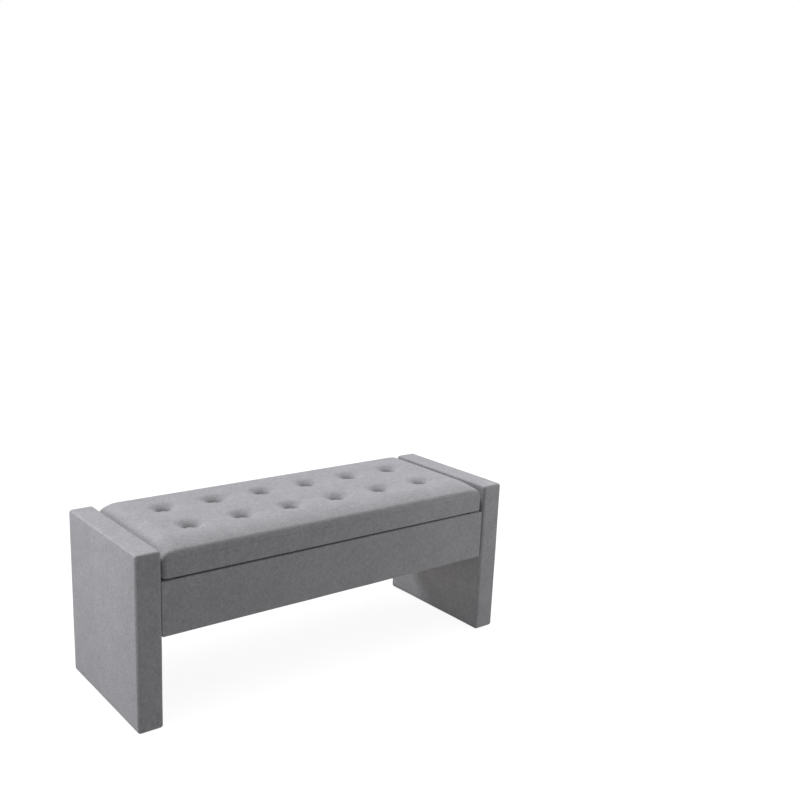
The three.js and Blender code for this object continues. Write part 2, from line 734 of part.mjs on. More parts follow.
function stayLowerArm(side) {
  const shape = strapShape(WALL_PIVOT, ELBOW, STAY_HALF_WIDTH);
  addHole(shape, WALL_PIVOT, STAY_HOLE);
  addHole(shape, ELBOW, STAY_HOLE);
  return extrudeAlongX(shape, sideSpan(side, LOWER_IN, LOWER_OUT));
}

// The rivet at the elbow is part of the upper arm and runs in the lower arm's hole.
function stayUpperArm(side) {
  const shape = strapShape(ELBOW, LID_PIVOT, STAY_HALF_WIDTH);
  addHole(shape, LID_PIVOT, STAY_HOLE);
  return join(
    extrudeAlongX(shape, sideSpan(side, UPPER_IN, UPPER_OUT)),
    crossBar(sideSpan(side, UPPER_OUT - RUN_OUT, LOWER_OUT + GAP), ...ELBOW, STAY_PIVOT),
  );
}

function stayLidBracket(side) {
  const [y, z] = LID_PIVOT;
  const top = LID_BOTTOM - LID_LINING - 2 * GAP;
  const ear = strapShape([y, z], [y, top - STAY_HALF_WIDTH], STAY_HALF_WIDTH);
  const half = STAY_FLANGE_LENGTH / 2;
  const headFrom = UPPER_OUT + STAY_RUNNING;
  const headTo = headFrom + STAY_HEAD_THICKNESS;
  const bracket = join(
    extrudeAlongX(ear, sideSpan(side, EAR_IN, EAR_OUT)),
    block(sideSpan(side, EAR_IN - STAY_FLANGE, EAR_OUT), [y - half, y + half], [top - STAY_STRAP, top]),
    crossBar(sideSpan(side, EAR_OUT - RUN_OUT, headFrom), y, z, STAY_PIVOT),
    crossBar(sideSpan(side, headFrom, headTo), y, z, STAY_HEAD),
  );
  const screwHoles = [-1, 1].map((place) =>
    upright(
      side * (EAR_IN - STAY_FLANGE / 2),
      y + place * STAY_FLANGE_SCREW,
      [top - STAY_STRAP - RUN_OUT, top + RUN_OUT],
      STAY_SCREW_RADIUS,
    ),
  );
  return cut(bracket, ...screwHoles);
}

function buildStay(side, word) {
  addPart(`${word}_stay_wall_plate`, stayWallPlate(side), 'steel');
  addPart(`${word}_stay_lower_arm`, stayLowerArm(side), 'steel');
  addPart(`${word}_stay_upper_arm`, stayUpperArm(side), 'steel');
  addPart(`${word}_stay_lid_bracket`, stayLidBracket(side), 'steel');
}

for (const [side, word] of [[-1, 'left'], [1, 'right']]) {
  buildEnd(side, word);
  buildHinge(side, word);
  buildStay(side, word);
}
buildBox();
buildLid();

export default bench;
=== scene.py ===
"""Storage bench with slab ends, a hanging box and a button-tufted lid: the cloth, padding, linings,
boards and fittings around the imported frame. Run as a script in Blender 4.5; lengths are metres."""

import math

import bmesh
import bpy
import numpy as np
from mathutils import Matrix, Vector, noise


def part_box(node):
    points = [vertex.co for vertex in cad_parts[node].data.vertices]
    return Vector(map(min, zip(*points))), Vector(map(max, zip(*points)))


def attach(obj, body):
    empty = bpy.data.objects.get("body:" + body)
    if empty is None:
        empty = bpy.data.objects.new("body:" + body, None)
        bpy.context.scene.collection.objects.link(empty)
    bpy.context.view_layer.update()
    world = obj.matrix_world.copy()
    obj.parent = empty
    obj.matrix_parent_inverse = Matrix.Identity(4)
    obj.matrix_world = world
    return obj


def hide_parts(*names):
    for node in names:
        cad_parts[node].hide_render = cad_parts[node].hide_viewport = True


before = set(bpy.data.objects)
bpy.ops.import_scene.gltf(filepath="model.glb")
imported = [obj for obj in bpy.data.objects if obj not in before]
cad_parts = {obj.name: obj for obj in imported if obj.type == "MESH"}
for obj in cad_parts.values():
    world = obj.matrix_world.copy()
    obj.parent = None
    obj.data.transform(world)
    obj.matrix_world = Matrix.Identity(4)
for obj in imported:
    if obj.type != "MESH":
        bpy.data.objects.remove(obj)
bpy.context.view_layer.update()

bl_info = {
    "name": "Storage Bench",
    "version": (1, 0, 0),
    "blender": (4, 5, 0),
    "location": "View3D > Sidebar > Bench",
    "description": "Upholsters a storage bench around its packed frame",
    "category": "Object",
}

MM = 0.001
NEAR = 0.1 * MM  # closer than this counts as the same place
TINY = 1e-9
SIDES = ((-1, "left"), (1, "right"))
ROWS = ("front", "back")
BUTTONS_PER_ROW = 6
LOOSE_TOP = 0.2  # how firmly the foam holds the lid's top cloth, 0 to 1
SEAM_SHADE = "seam"  # seam mark: painted shade at seams and round button hollows, 0 to 1
SLUB_RUNS = ((0.16, 1, 1), (1, 0.16, 1), (1, 1, 0.16))  # threads that run along X, Y and Z


# ---------------------------------------------------------------- settings


def length(name, description, millimetres):
    return bpy.props.FloatProperty(
        name=name, description=description, default=millimetres * MM, unit="LENGTH", precision=4
    )


def colour(name, description, value):
    return bpy.props.FloatVectorProperty(
        name=name, description=description, default=value, subtype="COLOR", size=3, min=0, max=1
    )


class BenchSizes(bpy.types.PropertyGroup):
    """Sizes of the upholstery that are a maker's choice."""

    cloth: length("Cloth thickness", "Thickness of the upholstery cloth", 1.2)
    end_edge: length("End edge radius", "Rounding of the padded ends' edges", 7)
    end_corner: length("End corner radius", "Rounding of the padded ends' corners", 9)
    end_puff: length("End puff", "How far the wadding stands out mid-face", 1.2)
    box_edge: length("Box edge radius", "Rounding of the box covers' edges", 2)
    box_corner: length("Box corner radius", "Rounding of the box covers' corners", 4.5)
    box_gap: length("Box end gap", "How far the box covers stay clear of the ends", 1)
    box_puff: length("Box puff", "How far the box front stands out", 0.8)
    seam_depth: length("Seam depth", "How far a seam is drawn in", 0.8)
    lid_shoulder: length("Lid shoulder", "Height of the lid's edge above its underside", 59.2)
    lid_crown: length("Lid crown", "How far the middle rises above the edge", 23)
    lid_crown_reach: length("Crown reach", "From the front edge to the full crown", 85)
    lid_back_reach: length("Back crown reach", "From the back edge to the full crown", 28)
    lid_corner: length("Lid corner radius", "Rounding of the lid's upright corners", 14)
    lid_roll: length("Lid roll", "Height of the rounding along the top edge", 22)
    lid_hem: length("Lid hem radius", "Rounding of the lid's lower edge", 1.5)
    lid_gap: length("Lid gap", "How much the cover is drawn up under the lid's edge", 0.9)
    lid_seam: length("Lid seam height", "Height of the boxing seam above the underside", 47)
    tuft_reach: length("Tuft reach", "Radius of the hollow round a button", 42)
    tuft_stretch: bpy.props.FloatProperty(
        name="Tuft stretch", description="How much longer a hollow is than wide", default=1.2
    )
    tuft_dish: length("Tuft dish", "Radius of the soft dish round a hollow", 78)
    dish_depth: length("Dish depth", "How far that dish sinks round the hollow", 3)
    tuft_pin: length("Tuft pin radius", "Radius of the cloth held under a button", 12)
    lining: length("Lining thickness", "Thickness of the non-woven linings", 0.6)
    dust_sag: length("Dust cover sag", "How far the dust cover hangs in its middle", 2.5)


class BenchColours(bpy.types.PropertyGroup):
    """Colours of the finishes, in linear light."""

    cloth: colour("Cloth", "Grey chenille", (0.345, 0.345, 0.362))
    lining: colour("Lining", "Black non-woven lining", (0.016, 0.016, 0.018))
    pine: colour("Pine", "Planed pine", (0.60, 0.41, 0.22))
    fibreboard: colour("Fibreboard", "Raw fibreboard", (0.42, 0.29, 0.17))
    hardboard: colour("Hardboard", "Brown hardboard", (0.16, 0.085, 0.045))
    honeycomb: colour("Honeycomb", "Kraft honeycomb board", (0.36, 0.24, 0.13))
    steel: colour("Steel", "Zinc-plated steel", (0.55, 0.55, 0.56))
    black_steel: colour("Black steel", "Black oxide bolt", (0.035, 0.035, 0.038))
    plastic: colour("Plastic", "Black glide plastic", (0.02, 0.02, 0.021))
    rubber: colour("Rubber", "Black bumper rubber", (0.013, 0.013, 0.013))
    floor: colour("Floor", "Pale studio floor", (0.9, 0.9, 0.9))


def sizes():
    return bpy.context.scene.bench_sizes


def colours():
    return bpy.context.scene.bench_colours


# ---------------------------------------------------------------- shader maths


class Wire:
    """A shader socket on which Python arithmetic adds Math nodes."""

    def __init__(self, finish, socket):
        self.finish = finish
        self.socket = socket

    def maths(self, operation, *values):
        inputs = dict(enumerate(values))
        return self.finish.node("ShaderNodeMath", {"operation": operation}, inputs)

    def __add__(self, other):
        return self.maths("ADD", self, other)

    def __radd__(self, other):
        return self.maths("ADD", other, self)

    def __sub__(self, other):
        return self.maths("SUBTRACT", self, other)

    def __rsub__(self, other):
        return self.maths("SUBTRACT", other, self)

    def __mul__(self, other):
        return self.maths("MULTIPLY", self, other)

    def __rmul__(self, other):
        return self.maths("MULTIPLY", other, self)

    def __truediv__(self, other):
        return self.maths("DIVIDE", self, other)

    def __pow__(self, other):
        return self.maths("POWER", self, other)

    def __abs__(self):
        return self.maths("ABSOLUTE", self)

    def cosine(self):
        return self.maths("COSINE", self)

    def within(self, low, high):
        """0 at low, 1 at high and held there, with a soft step between."""
        settings = {"interpolation_type": "SMOOTHSTEP"}
        values = {"Value": self, "From Min": low, "From Max": high}
        return self.finish.node("ShaderNodeMapRange", settings, values)


class Finish:
    """A procedural material, built node by node round one Principled shader."""

    def __init__(self, name):
        self.material = bpy.data.materials.new(name)
        self.material.use_nodes = True
        self.tree = self.material.node_tree
        self.tree.nodes.clear()

    def node(self, kind, settings=None, sockets=None, output=0):
        made = self.tree.nodes.new(kind)
        for name, value in (settings or {}).items():
            if name == "stops":
                self.set_stops(made.color_ramp, value)
            else:
                setattr(made, name, value)
        for name, value in (sockets or {}).items():
            if isinstance(value, Wire):
                self.tree.links.new(value.socket, made.inputs[name])
            else:
                made.inputs[name].default_value = value
        return Wire(self, made.outputs[output])

    @staticmethod
    def set_stops(ramp, stops):
        while len(ramp.elements) < len(stops):
            ramp.elements.new(0.5)
        for element, (position, value) in zip(ramp.elements, stops):
            element.position = position
            element.color = (*value, 1)

    def position(self):
        return self.node("ShaderNodeTexCoord", output="Object")

    def stretched(self, vector, scale):
        return self.node("ShaderNodeVectorMath", {"operation": "MULTIPLY"}, {0: vector, 1: scale})

    def noise(self, vector, scale, detail=2.0, roughness=0.5, distortion=0.0):
        sockets = {
            "Vector": vector,
            "Scale": scale,
            "Detail": detail,
            "Roughness": roughness,
            "Distortion": distortion,
        }
        return self.node("ShaderNodeTexNoise", None, sockets)

    def parts_of(self, vector):
        split = self.node("ShaderNodeSeparateXYZ", None, {0: vector})
        outputs = split.socket.node.outputs
        return [Wire(self, outputs[axis]) for axis in range(3)]

    def mix(self, amount, first, second):
        """Colours mixed by amount: 0 gives the first."""
        made = self.tree.nodes.new("ShaderNodeMix")
        made.data_type = "RGBA"
        for index, value in ((0, amount), (6, first), (7, second)):
            if isinstance(value, Wire):
                self.tree.links.new(value.socket, made.inputs[index])
            elif index:
                made.inputs[index].default_value = (*value, 1)
            else:
                made.inputs[index].default_value = value
        return Wire(self, made.outputs[2])

    def bump(self, height, distance, strength=1.0):
        sockets = {"Height": height, "Distance": distance, "Strength": strength}
        return self.node("ShaderNodeBump", None, sockets)

    def close(self, **sockets):
        """Ends the material in a Principled shader with these sockets."""
        named = {name.replace("_", " "): value for name, value in sockets.items()}
        shader = self.node("ShaderNodeBsdfPrincipled", None, named)
        output = self.tree.nodes.new("ShaderNodeOutputMaterial")
        self.tree.links.new(shader.socket, output.inputs["Surface"])
        return self.material


def shade(value, amount):
    """A colour made lighter or darker by a factor."""
    return tuple(min(1.0, channel * amount) for channel in value)


def by_name(builder):
    """Builds a material once and hands out the same one after that."""

    def found():
        name = builder.__name__
        return bpy.data.materials.get(name) or builder(name)

    return found


# ---------------------------------------------------------------- finishes


def weave(across, along, pitch):
    """Height of a plain weave: threads of the given pitch cross over and under."""
    turn = math.pi / pitch
    return (across * turn).cosine() * (along * turn).cosine()


def by_face(finish, on_x, on_y, on_z):
    """A value of its own for surfaces that face along X, Y and Z, blended where they turn."""
    facing = finish.node("ShaderNodeTexCoord", output="Normal")
    nx, ny, nz = (abs(part) ** 4 for part in finish.parts_of(facing))
    return (on_x * nx + on_y * ny + on_z * nz) / (nx + ny + nz)


@by_name
def grey_chenille(name):
    """Soft grey chenille: a plain weave of slubby threads under a short nap; seams and hollows get
    painted shade.
    """
    finish = Finish(name)
    base = tuple(colours().cloth)
    place = finish.position()
    wander = finish.noise(place, 260, 2, 0.6)
    x, y, z = (part + (wander - 0.5) * 0.0011 for part in finish.parts_of(place))
    pitch = 1.25 * MM
    threads = by_face(finish, weave(y, z, pitch), weave(x, z, pitch), weave(x, y, pitch))
    slubs = [finish.noise(finish.stretched(place, run), 520, 2, 0.6) for run in SLUB_RUNS]
    linen = by_face(finish, slubs[1] + slubs[2], slubs[0] + slubs[2], slubs[0] + slubs[1]) - 1.0
    nap = finish.noise(place, 330, 3, 0.62) - 0.5
    tufts = finish.noise(place, 95, 2, 0.6, 0.4) - 0.5
    cloud = finish.noise(place, 17, 3, 0.55) - 0.5
    tone = 0.5 + threads * 0.08 + linen * 0.75 + nap * 0.8 + tufts * 0.45 + cloud * 0.35
    flecks = finish.mix(tone.within(0.0, 1.0), shade(base, 0.74), shade(base, 1.24))
    # Painted shade: the seam attribute darkens the cloth at seams and round button hollows.
    seam = finish.node("ShaderNodeAttribute", {"attribute_name": SEAM_SHADE}, output="Fac")
    sewn_and_shaded = finish.mix(seam * 0.55, flecks, shade(base, 0.3))
    height = threads * 0.3 + linen * 0.9 + nap * 0.8 + tufts * 1.1
    return finish.close(
        Base_Color=sewn_and_shaded,
        Roughness=0.92,
        Specular_IOR_Level=0.15,
        Sheen_Weight=0.3,
        Sheen_Roughness=0.4,
        Sheen_Tint=(0.91, 0.88, 0.97, 1),
        Normal=finish.bump(height, 0.5 * MM, 0.7),
    )


@by_name
def black_lining(name):
    """Non-woven lining: matted fibres pressed with a fine grid of bonding dimples."""
    finish = Finish(name)
    base = tuple(colours().lining)
    place = finish.position()
    x, y, z = finish.parts_of(place)
    pitch = 1.6 * MM
    dimples = by_face(finish, weave(y, z, pitch), weave(x, z, pitch), weave(x, y, pitch))
    fibres = finish.noise(finish.stretched(place, (1, 0.5, 1)), 900, 3, 0.7, 0.8)
    patches = finish.noise(place, 35, 3, 0.6)
    tone = fibres * 0.7 + patches * 0.5 - 0.1
    return finish.close(
        Base_Color=finish.mix(tone.within(0.1, 0.9), shade(base, 0.55), shade(base, 1.9)),
        Roughness=(0.62 + dimples * 0.14),
        Specular_IOR_Level=0.35,
        Normal=finish.bump(dimples * 0.5 + fibres * 0.9, 0.25 * MM, 0.6),
    )


@by_name
def planed_pine(name):
    """Planed pine with growth rings that wander along the length, and a few darker streaks."""
    finish = Finish(name)
    base = tuple(colours().pine)
    place = finish.position()
    bend = finish.noise(place, 3.0, 2)
    across = finish.noise(finish.stretched(place, (6, 6, 0.6)), 9, 2, 0.5, 0.6)
    rings = ((across * 26 + bend * 6) * math.pi).cosine() * 0.5 + 0.5
    pores = finish.noise(finish.stretched(place, (1, 1, 0.05)), 900, 2, 0.6)
    tone = rings * 0.6 + pores * 0.5
    return finish.close(
        Base_Color=finish.mix(tone.within(0.0, 1.1), shade(base, 1.1), shade(base, 0.62)),
        Roughness=0.55 + pores * 0.2,
        Normal=finish.bump(pores + rings * 0.2, 0.1 * MM, 0.5),
    )


def pressed_board(name, base, grain, roughness):
    """A board of pressed wood fibre or chips, flecked light and dark."""
    finish = Finish(name)
    place = finish.position()
    chips = finish.node("ShaderNodeTexVoronoi", None, {"Vector": place, "Scale": grain})
    fibre = finish.noise(place, grain * 2.2, 3, 0.65)
    tone = chips * 0.5 + fibre * 0.8
    return finish.close(
        Base_Color=finish.mix(tone.within(0.2, 0.95), shade(base, 0.68), shade(base, 1.22)),
        Roughness=roughness,
        Normal=finish.bump(tone, 0.15 * MM, 0.5),
    )


@by_name
def raw_fibreboard(name):
    return pressed_board(name, tuple(colours().fibreboard), 420, 0.82)


@by_name
def brown_hardboard(name):
    return pressed_board(name, tuple(colours().hardboard), 700, 0.6)


@by_name
def kraft_honeycomb(name):
    """Honeycomb board: paper cells that show as a net of pale walls round hollows in painted shade.
    """
    finish = Finish(name)
    base = tuple(colours().honeycomb)
    place = finish.position()
    sockets = {"Vector": finish.stretched(place, (0.02, 1, 1)), "Scale": 70, "Randomness": 0.12}
    walls = finish.node("ShaderNodeTexVoronoi", {"feature": "DISTANCE_TO_EDGE"}, sockets)
    # Painted shade: the cells' hollows are darkened; the same mask sinks them in the bump.
    hollow_and_shade = walls.within(0.03, 0.09)
    return finish.close(
        Base_Color=finish.mix(hollow_and_shade, shade(base, 1.15), shade(base, 0.35)),
        Roughness=0.9,
        Normal=finish.bump(1 - hollow_and_shade, 1.5 * MM, 1.0),
    )


def plated_steel(name, base, roughness, scratch_run):
    """Plated sheet steel: faint rolling lines, cloudy plating and rubbed spots."""
    finish = Finish(name)
    place = finish.position()
    lines = finish.noise(finish.stretched(place, scratch_run), 2600, 3, 0.7)
    cloud = finish.noise(place, 120, 4, 0.6)
    specks = finish.noise(place, 900, 2, 0.5)
    tone = lines * 0.4 + cloud * 0.8
    return finish.close(
        Base_Color=finish.mix(tone.within(0.35, 0.85), shade(base, 0.72), shade(base, 1.12)),
        Metallic=1.0,
        Roughness=(cloud * 0.22 + lines * 0.12 + roughness),
        Normal=finish.bump(lines + specks * 0.6, 0.03 * MM, 0.35),
    )


@by_name
def hinge_steel(name):
    return plated_steel(name, tuple(colours().steel), 0.2, (0.08, 1, 1))


@by_name
def stay_steel(name):
    return plated_steel(name, shade(tuple(colours().steel), 0.9), 0.26, (1, 0.08, 1))


@by_name
def bolt_steel(name):
    return plated_steel(name, tuple(colours().black_steel), 0.3, (1, 1, 1))


def moulded(name, base, roughness, grain):
    """Moulded plastic or rubber with a fine spark-eroded grain."""
    finish = Finish(name)
    place = finish.position()
    pebble = finish.noise(place, grain, 2, 0.55)
    scuff = finish.noise(place, 160, 3, 0.7)
    return finish.close(
        Base_Color=finish.mix(scuff.within(0.4, 0.75), base, shade(base, 2.0)),
        Roughness=(scuff * 0.2 + roughness),
        Normal=finish.bump(pebble, 0.05 * MM, 0.5),
    )


@by_name
def glide_plastic(name):
    return moulded(name, tuple(colours().plastic), 0.38, 2200)


@by_name
def bumper_rubber(name):
    return moulded(name, tuple(colours().rubber), 0.62, 1600)


@by_name
def floor_paint(name):
    """Matt floor paint with a barely visible roller texture."""
    finish = Finish(name)
    base = tuple(colours().floor)
    place = finish.position()
    patches = finish.noise(place, 3.0, 3)
    stipple = finish.noise(place, 700, 2)
    return finish.close(
        Base_Color=finish.mix(patches, shade(base, 0.99), shade(base, 1.01)),
        Roughness=0.92,
        Normal=finish.bump(stipple, 0.02 * MM, 0.2),
    )


# ---------------------------------------------------------------- mesh helpers


def make_object(name, vertices, faces, material, smooth=True):
    mesh = bpy.data.meshes.new(name)
    mesh.from_pydata([tuple(v) for v in vertices], [], faces)
    mesh.validate()
    for polygon in mesh.polygons:
        polygon.use_smooth = smooth
    mesh.materials.append(material)
    return place_mesh(name, mesh)


def place_mesh(name, mesh, matrix=None):
    made = bpy.data.objects.new(name, mesh)
    if matrix is not None:
        made.matrix_world = matrix
    bpy.context.scene.collection.objects.link(made)
    return made


def give_attribute(piece, name, values):
    attribute = piece.data.attributes.new(name, "FLOAT", "POINT")
    attribute.data.foreach_set("value", np.asarray(values, np.float32))


def lines_over(half, rounding, spacing, turns=4, extra=()):
    """Grid lines from -half to half: close together over the rounding, then evenly spaced. The
    extra lines are given by their distance from the middle, and lie on both sides of it."""
    flat = half - rounding
    count = max(2, round(2 * flat / spacing))
    middle = [-flat + 2 * flat * i / count for i in range(count + 1)]
    bends = [flat + rounding * math.tan(math.pi / 4 * (i + 1) / turns) for i in range(turns)]
    more = [side * place for place in extra for side in (-1, 1)]
    near = [m for m in middle if all(abs(m - e) > 2 * MM for e in more)]
    return sorted(near + bends + [-bend for bend in bends] + more)


def surface_grid(lines):
    """The points and quads on the outside of a box grid."""
    counts = [len(line) for line in lines]
    keys, faces = {}, []

    def number(key):
        return keys.setdefault(key, len(keys))

    for axis in range(3):
        u, v = (axis + 1) % 3, (axis + 2) % 3
        for end in (0, counts[axis] - 1):
            for i in range(counts[u] - 1):
                for j in range(counts[v] - 1):
                    corners = []
                    for di, dj in ((0, 0), (1, 0), (1, 1), (0, 1)):
                        key = [0, 0, 0]
                        key[axis], key[u], key[v] = end, i + di, j + dj
                        corners.append(number(tuple(key)))
                    faces.append(corners if end else corners[::-1])
    points = np.array([[lines[axis][key[axis]] for axis in range(3)] for key in keys])
    return points, faces


def flat_grid(across, along, height=0.0):
    """Points and quads of a level sheet, facing up."""
    points = np.array([(x, y, height) for y in along for x in across], float)
    wide = len(across)
    faces = [
        (j * wide + i, j * wide + i + 1, (j + 1) * wide + i + 1, (j + 1) * wide + i)
        for j in range(len(along) - 1)
        for i in range(wide - 1)
    ]
    return points, faces


def rounded(points, half, radius):
    """Points on a box moved onto the same box with rounded edges."""
    core = np.clip(points, radius - half, half - radius)
    out = (points - core) / radius
    distance = np.linalg.norm(out, axis=1, keepdims=True)
    return core + radius * out / np.maximum(distance, TINY)


def rounded_edge(inset, height, face, way, across, tall):
    """A square edge's section made elliptical: how far in from the side and how high each point is.
    The edge lies at a face that looks up or down."""
    out = np.clip((across - inset) / across, 0, 1)
    rise = np.clip((way * (height - face) + tall) / tall, 0, 1)
    far = np.maximum(np.hypot(out, rise), 1)
    at_edge = (out > 0) & (rise > 0)
    new_inset = np.where(at_edge, across * (1 - out / far), inset)
    new_height = np.where(at_edge, face - way * tall * (1 - rise / far), height)
    return new_inset, new_height


def slab(grid, half, axis, corner, low_edge, high_edge):
    """Points on a box moved onto a slab: its outline's corners have one radius, and the edges of
    its two faces are elliptical, as wide across the face and as tall as each pair says."""
    plan_axes = [a for a in range(3) if a != axis]
    plan, plan_half = grid[:, plan_axes], np.array(half)[plan_axes]
    start = np.min(plan_half - np.abs(plan), axis=1)
    inset, height = rounded_edge(start, grid[:, axis], half[axis], 1, *high_edge)
    inset, height = rounded_edge(inset, height, -half[axis], -1, *low_edge)
    widest = max(low_edge[0], high_edge[0])
    ring = plan_half - inset[:, None]
    before = np.maximum(plan_half - start[:, None], 1e-6)
    plan = np.where(start[:, None] < widest, plan * ring / before, plan)
    bend = np.maximum(corner - inset, 0.5 * MM)[:, None]
    core = np.clip(plan, bend - ring, ring - bend)
    out = plan - core
    far = np.linalg.norm(out, axis=1, keepdims=True)
    points = grid.copy()
    points[:, plan_axes] = core + out * np.minimum(1, bend / np.maximum(far, TINY))
    points[:, axis] = height
    return points


def pillow(points, half, axis, puff):
    """Moves both faces across one axis out by puff in their middle, and not at their edges."""
    u, v = [a for a in range(3) if a != axis]
    inner_u, inner_v = (1 - np.abs(points[:, a] / half[a]) ** 6 for a in (u, v))
    near_face = (np.abs(points[:, axis]) / half[axis]) ** 8
    swell = puff * np.clip(inner_u * inner_v, 0, 1) * near_face
    points[:, axis] += np.sign(points[:, axis]) * swell
    return points


def uneven(points, amount, size, seed):
    """Moves points by slow noise, as hand-stretched cloth lies over wadding."""
    noise.seed_set(seed)
    shift = Vector((seed * 7.3, seed * 3.1, seed * 5.7))
    moved = [np.array(noise.noise_vector(Vector(point) / size + shift)) for point in points]
    return points + np.array(moved) * amount


def smooth_step(value):
    value = np.clip(value, 0, 1)
    return value * value * (3 - 2 * value)


def subdivide(piece):
    modifier = piece.modifiers.new("Subdivision", "SUBSURF")
    modifier.levels = modifier.render_levels = 1


def thicken(piece, thickness, offset=-1, even=True):
    modifier = piece.modifiers.new("Cloth thickness", "SOLIDIFY")
    modifier.thickness = thickness
    modifier.offset = offset
    modifier.use_even_offset = even


def turned(profile, steps):
    """Points and quads of a closed shape turned round Z. The profile is (radius, height) pairs,
    lowest first, with both ends on the axis."""
    points, faces = [], []
    rings = profile[1:-1]
    for radius, height in rings:
        for step in range(steps):
            angle = 2 * math.pi * step / steps
            points.append((radius * math.cos(angle), radius * math.sin(angle), height))
    first, last = len(points), len(points) + 1
    points += [(0, 0, profile[0][1]), (0, 0, profile[-1][1])]
    for ring in range(len(rings) - 1):
        for step in range(steps):
            a, b = ring * steps + step, ring * steps + (step + 1) % steps
            faces.append((a, b, b + steps, a + steps))
    top = (len(rings) - 1) * steps
    for step in range(steps):
        after = (step + 1) % steps
        faces.append((first, after, step))
        faces.append((last, top + step, top + after))
    return np.array(points), faces


def prism(outline, low, high):
    """Points and faces of an upright prism on a closed outline, drawn anticlockwise."""
    count = len(outline)
    points = [(x, y, low) for x, y in outline] + [(x, y, high) for x, y in outline]
    faces = [tuple(range(count - 1, -1, -1)), tuple(range(count, 2 * count))]
    for i in range(count):
        after = (i + 1) % count
        faces.append((i, after, after + count, i + count))
    return points, faces


def carved(name, body, tool, material):
    """A mesh with a recess cut into it, its edges sharp where it turns hard."""
    whole = make_object(f"{name}_whole", *body, material)
    cutter = make_object(f"{name}_cutter", *tool, material)
    modifier = whole.modifiers.new("Recess", "BOOLEAN")
    modifier.operation = "DIFFERENCE"
    modifier.solver = "EXACT"
    modifier.object = cutter
    depsgraph = bpy.context.evaluated_depsgraph_get()
    mesh = bpy.data.meshes.new_from_object(whole.evaluated_get(depsgraph))
    mesh.name = name
    for spare in (whole, cutter):
        bpy.data.objects.remove(spare)
    mesh.set_sharp_from_angle(angle=math.radians(32))
    return mesh


def turn_to(direction, place):
    """A matrix that stands a piece's Z along a direction, at a place."""
    turn = Vector(direction).to_track_quat("Z", "Y").to_matrix().to_4x4()
    return Matrix.Translation(place) @ turn


def finished(piece, body, slot, *nodes):
    """Rides on a body and stands for the CAD nodes; the slot is not used."""
    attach(piece, body)
    if nodes:
        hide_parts(*nodes)
    return piece


def middle_and_half(node):
    low, high = (np.array(corner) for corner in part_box(node))
    return (low + high) / 2, (high - low) / 2


# ---------------------------------------------------------------- ends


def end_cover(side, word):
    """One end's padded cover, seamed round both faces and turned under at its open bottom."""
    size = sizes()
    centre, half = middle_and_half(f"{word}_end_cover")
    edge = size.end_edge
    hem = 16 * MM
    flat = half - edge
    spacing, beside_seam = 22 * MM, 1.5 * MM
    across_width = (half[1] - hem, flat[1], flat[1] - beside_seam)
    up_height = (flat[2], flat[2] - beside_seam)
    lines = [
        lines_over(half[0], edge, spacing, extra=(half[0] - hem,)),
        lines_over(half[1], size.end_corner, spacing, 6, across_width),
        lines_over(half[2], size.end_corner, spacing, 6, up_height),
    ]
    grid, faces = surface_grid(lines)
    points = slab(grid, half, 0, size.end_corner, (edge, edge), (edge, edge))
    out_x, out_y, out_z = np.abs(grid).T
    upright = np.isclose(out_y, flat[1]) & (out_z <= flat[2] + NEAR)
    level = np.isclose(out_z, flat[2]) & (out_y <= flat[1] + NEAR)
    seam = (out_x >= half[0] - NEAR) & (upright | level)
    points[seam, 0] -= np.sign(points[seam, 0]) * size.seam_depth
    points = pillow(points, half, 0, size.end_puff)
    points = pillow(points, half, 1, size.end_puff * 0.5)
    points = uneven(points, 0.7 * MM, 0.11, side + 2)
    kept = []
    for face in faces:
        middle = grid[face].mean(axis=0)
        under = middle[2] <= -half[2] + NEAR
        open_middle = abs(middle[0]) < half[0] - hem and abs(middle[1]) < half[1] - hem
        if not (under and open_middle):
            kept.append(face)
    piece = make_object(f"{word}_end_upholstery", points + centre, kept, grey_chenille())
    # Painted shade along the seams, read by the cloth's colour.
    give_attribute(piece, SEAM_SHADE, seam * 0.4)
    thicken(piece, size.cloth)
    subdivide(piece)
    return finished(piece, "base", "cover_cloth", f"{word}_end_cover")


# ---------------------------------------------------------------- box


def box_cover(word, outward, puff):
    """A padded cover wrapped round a long panel: over its rim, round its ends and under its lower
    edge, where it runs on further."""
    size = sizes()
    low, high = (np.array(corner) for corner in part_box(f"box_{word}_cover"))
    panel_low, panel_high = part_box(f"box_{word}_panel")
    rim_end = panel_high.y if outward < 0 else panel_low.y
    return_end = high[1] if outward < 0 else low[1]
    edge = size.box_edge
    beyond = 15 * MM
    low[0] += size.box_gap
    high[0] -= size.box_gap
    if outward < 0:
        high[1] += beyond
    else:
        low[1] -= beyond
    centre, half = (low + high) / 2, (high - low) / 2
    ends = [abs(place - centre[1]) for place in (rim_end, return_end)]
    lines = [
        lines_over(half[0], size.box_corner, 24 * MM, 6),
        lines_over(half[1], edge, 9 * MM, extra=ends),
        lines_over(half[2], size.box_corner, 12 * MM, 6),
    ]
    grid, faces = surface_grid(lines)
    points = slab(grid, half, 1, size.box_corner, (edge, edge), (edge, edge))
    points = pillow(points, half, 1, puff)
    points = uneven(points, 0.4 * MM, 0.09, 5 + outward)
    kept = []
    for face in faces:
        middle = grid[face].mean(axis=0) + centre
        under = middle[2] <= low[2] + NEAR
        last = return_end if under else rim_end
        if (middle[1] - last) * outward > 0:
            kept.append(face)
    piece = make_object(f"box_{word}_upholstery", points + centre, kept, grey_chenille())
    thicken(piece, size.cloth)
    subdivide(piece)
    return finished(piece, "base", "cover_cloth", f"box_{word}_cover")


# ---------------------------------------------------------------- lid


def button_boxes():
    """Each covered button's name and its CAD node's lowest and highest corners."""
    names = [f"{row}_button_{i + 1}" for row in ROWS for i in range(BUTTONS_PER_ROW)]
    return [(name, *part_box(name)) for name in names]


